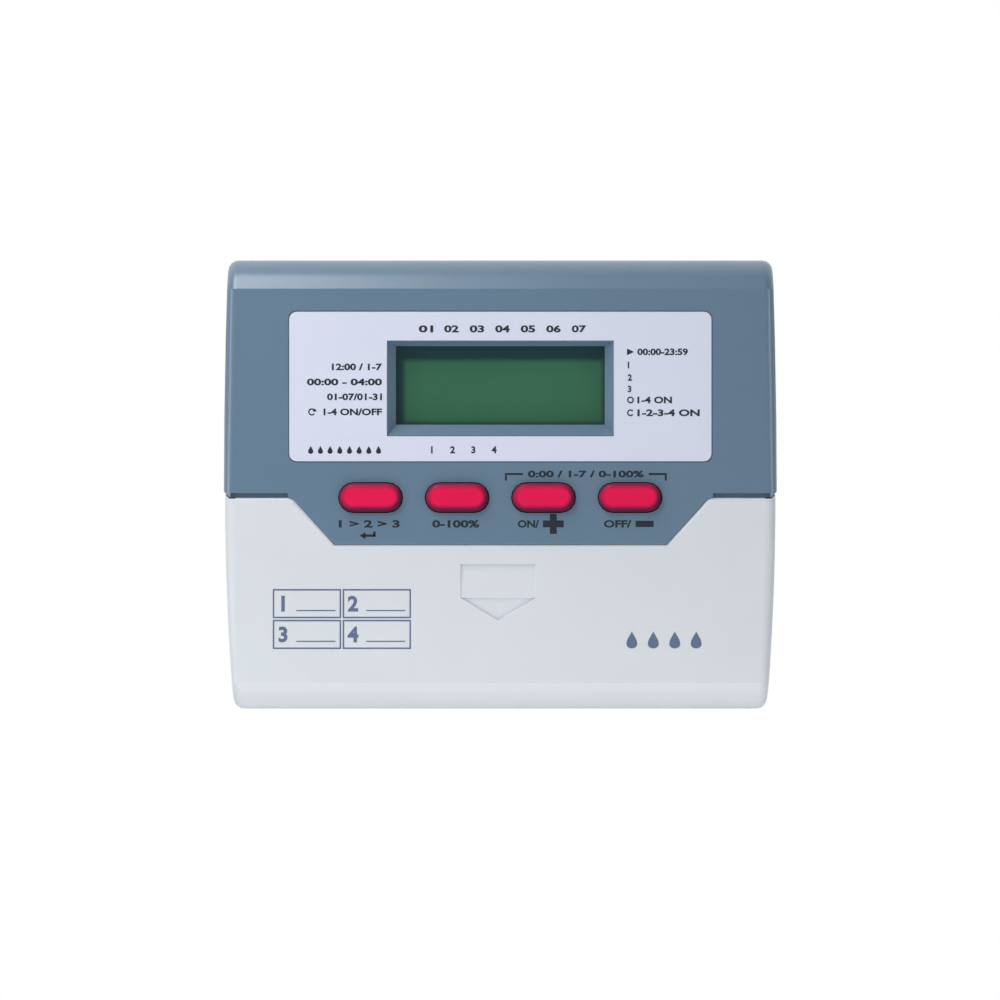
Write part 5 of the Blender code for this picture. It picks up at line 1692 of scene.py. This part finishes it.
@dataclass
class Studio:
    """Pale floor, soft light and the camera."""

    image_width: float = 289.0 * MILLIMETRE
    camera_distance: float = 3.0
    camera_x: float = -0.1 * MILLIMETRE
    camera_z: float = -4.5 * MILLIMETRE
    sensor: float = 36.0
    floor_z: float = -0.205
    floor_radius: float = 0.62
    floor_steps: int = 96
    floor_roughness: float = 0.9
    floor_levels: Span = (0.86, 0.90)
    floor_scale: float = 6.0
    fade_shares: Span = (0.5, 0.98)
    world_level: float = 0.33
    backdrop_level: float = 1.0
    backdrop_fade: Span = (-0.1, 0.3)
    half_bounce: float = 0.5
    lamps: tuple[Softbox, ...] = (
        Softbox("overhead_softbox", (-0.205, -0.28, 0.42), 0.30, 0.44, 2.1, (-0.205, 0.0, 0.0)),
        Softbox("left_softbox", (-0.70, -0.42, 0.02), 0.24, 0.50, 1.1),
        Softbox("right_softbox", (0.70, -0.45, 0.02), 0.24, 0.50, 0.85),
        Softbox("table_bounce", (0.0, -0.17, -0.195), 0.50, 0.14, 0.345, (0.0, -0.17, 0.0)),
    )

    def build(self, shop: Workshop) -> None:
        """Sets up the floor, world, lamps and camera.

        Args:
            shop: Workshop whose effects the floor uses.
        """
        bpy.context.scene.view_settings.view_transform = "Standard"
        self._floor(shop)
        self._world()
        for lamp in self.lamps:
            self._lamp(lamp)
        self._camera()

    def _floor(self, shop: Workshop) -> None:
        """Lays a pale disc that fades out into the background.

        Args:
            shop: Workshop whose effects the disc uses.
        """
        work = bmesh.new()
        bmesh.ops.create_circle(work, cap_ends=True, segments=self.floor_steps, radius=self.floor_radius)
        mesh = bpy.data.meshes.new("studio_floor")
        work.to_mesh(mesh)
        work.free()
        floor = bpy.data.objects.new("studio_floor", mesh)
        floor.location.z = self.floor_z
        bpy.context.scene.collection.objects.link(floor)
        made = bpy.data.materials.new("studio_floor")
        graph = Graph.cleared(made)
        shader = graph.add("ShaderNodeBsdfPrincipled")
        shader.inputs["Roughness"].default_value = self.floor_roughness
        place = graph.add("ShaderNodeTexCoord").outputs["Object"]
        drift = shop.effects.place(graph, Effect.MOTTLE, Place=place, Scale=self.floor_scale)
        darker, lighter = [(level, level, level, 1.0) for level in self.floor_levels]
        graph.feed(shader.inputs["Base Color"], graph.mix(drift, darker, lighter))
        length = graph.add("ShaderNodeVectorMath", operation="LENGTH")
        graph.feed(length.inputs[0], place)
        start, end = [share * self.floor_radius for share in self.fade_shares]
        fade = graph.spread(length.outputs["Value"], start, end)
        through = graph.add("ShaderNodeBsdfTransparent").outputs[0]
        surface = graph.blend(fade, shader.outputs[0], through)
        graph.feed(graph.add("ShaderNodeOutputMaterial").inputs["Surface"], surface)
        mesh.materials.append(made)

    def _world(self) -> None:
        """Even light all round, and a white backdrop that the camera, gloss and glass see."""
        world = bpy.data.worlds.new("studio_world")
        bpy.context.scene.world = world
        graph = Graph.cleared(world)
        light, white = [graph.add("ShaderNodeBackground") for _ in range(2)]
        for shader, level in ((light, self.world_level), (white, self.backdrop_level)):
            shader.inputs["Color"].default_value = WHITE
            shader.inputs["Strength"].default_value = level
        rays = graph.add("ShaderNodeLightPath").outputs
        mirrored = graph.math("MAXIMUM", rays["Is Glossy Ray"], rays["Is Transmission Ray"])
        direct = graph.math("LESS_THAN", rays["Diffuse Depth"], self.half_bounce)
        towards = graph.axis(graph.add("ShaderNodeTexCoord").outputs["Generated"], "Y")
        backdrop = graph.math("MULTIPLY", direct, graph.spread(towards, *self.backdrop_fade))
        seen = graph.math("MAXIMUM", rays["Is Camera Ray"], graph.math("MULTIPLY", mirrored, backdrop))
        surface = graph.blend(seen, light.outputs[0], white.outputs[0])
        graph.feed(graph.add("ShaderNodeOutputWorld").inputs["Surface"], surface)

    @staticmethod
    def _lamp(box: Softbox) -> None:
        """Adds a lamp that looks at its aim.

        Args:
            box: Where and how strong it is, and its aim.
        """
        lamp = bpy.data.lights.new(box.name, "AREA")
        lamp.shape = "RECTANGLE"
        lamp.energy = box.power
        lamp.size = box.width
        lamp.size_y = box.height
        item = bpy.data.objects.new(box.name, lamp)
        item.location = box.place
        item.rotation_euler = (item.location - Vector(box.aim)).to_track_quat("Z", "Y").to_euler()
        item.visible_camera = False
        bpy.context.scene.collection.objects.link(item)

    def _camera(self) -> None:
        """Places the camera square in front, far enough to flatten the view."""
        data = bpy.data.cameras.new("camera")
        front = front_depth("front_housing")
        data.sensor_width = self.sensor
        data.lens = self.sensor * self.camera_distance / self.image_width
        item = bpy.data.objects.new("camera", data)
        item.location = (self.camera_x, -(front + self.camera_distance), self.camera_z)
        item.rotation_euler = (math.pi / 2, 0, 0)
        bpy.context.scene.collection.objects.link(item)
        bpy.context.scene.camera = item


def write_sizes() -> None:
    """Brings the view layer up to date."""
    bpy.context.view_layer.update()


def main() -> None:
    """Builds the sub-assemblies in order and reports each piece."""
    logging.basicConfig(level=logging.INFO, format="%(message)s")
    shop = Workshop()
    parts = (
        CaseShells(), DisplayPanel(), KeyRow(), TerminalCover(), WiringBay(), MainBoard(), RearFixings(),
        Studio(),
    )
    for part in parts:
        LOG.info("building %s", type(part).__name__)
        part.build(shop)
    bpy.context.view_layer.update()
    write_sizes()


if __name__ == "__main__":
    main()
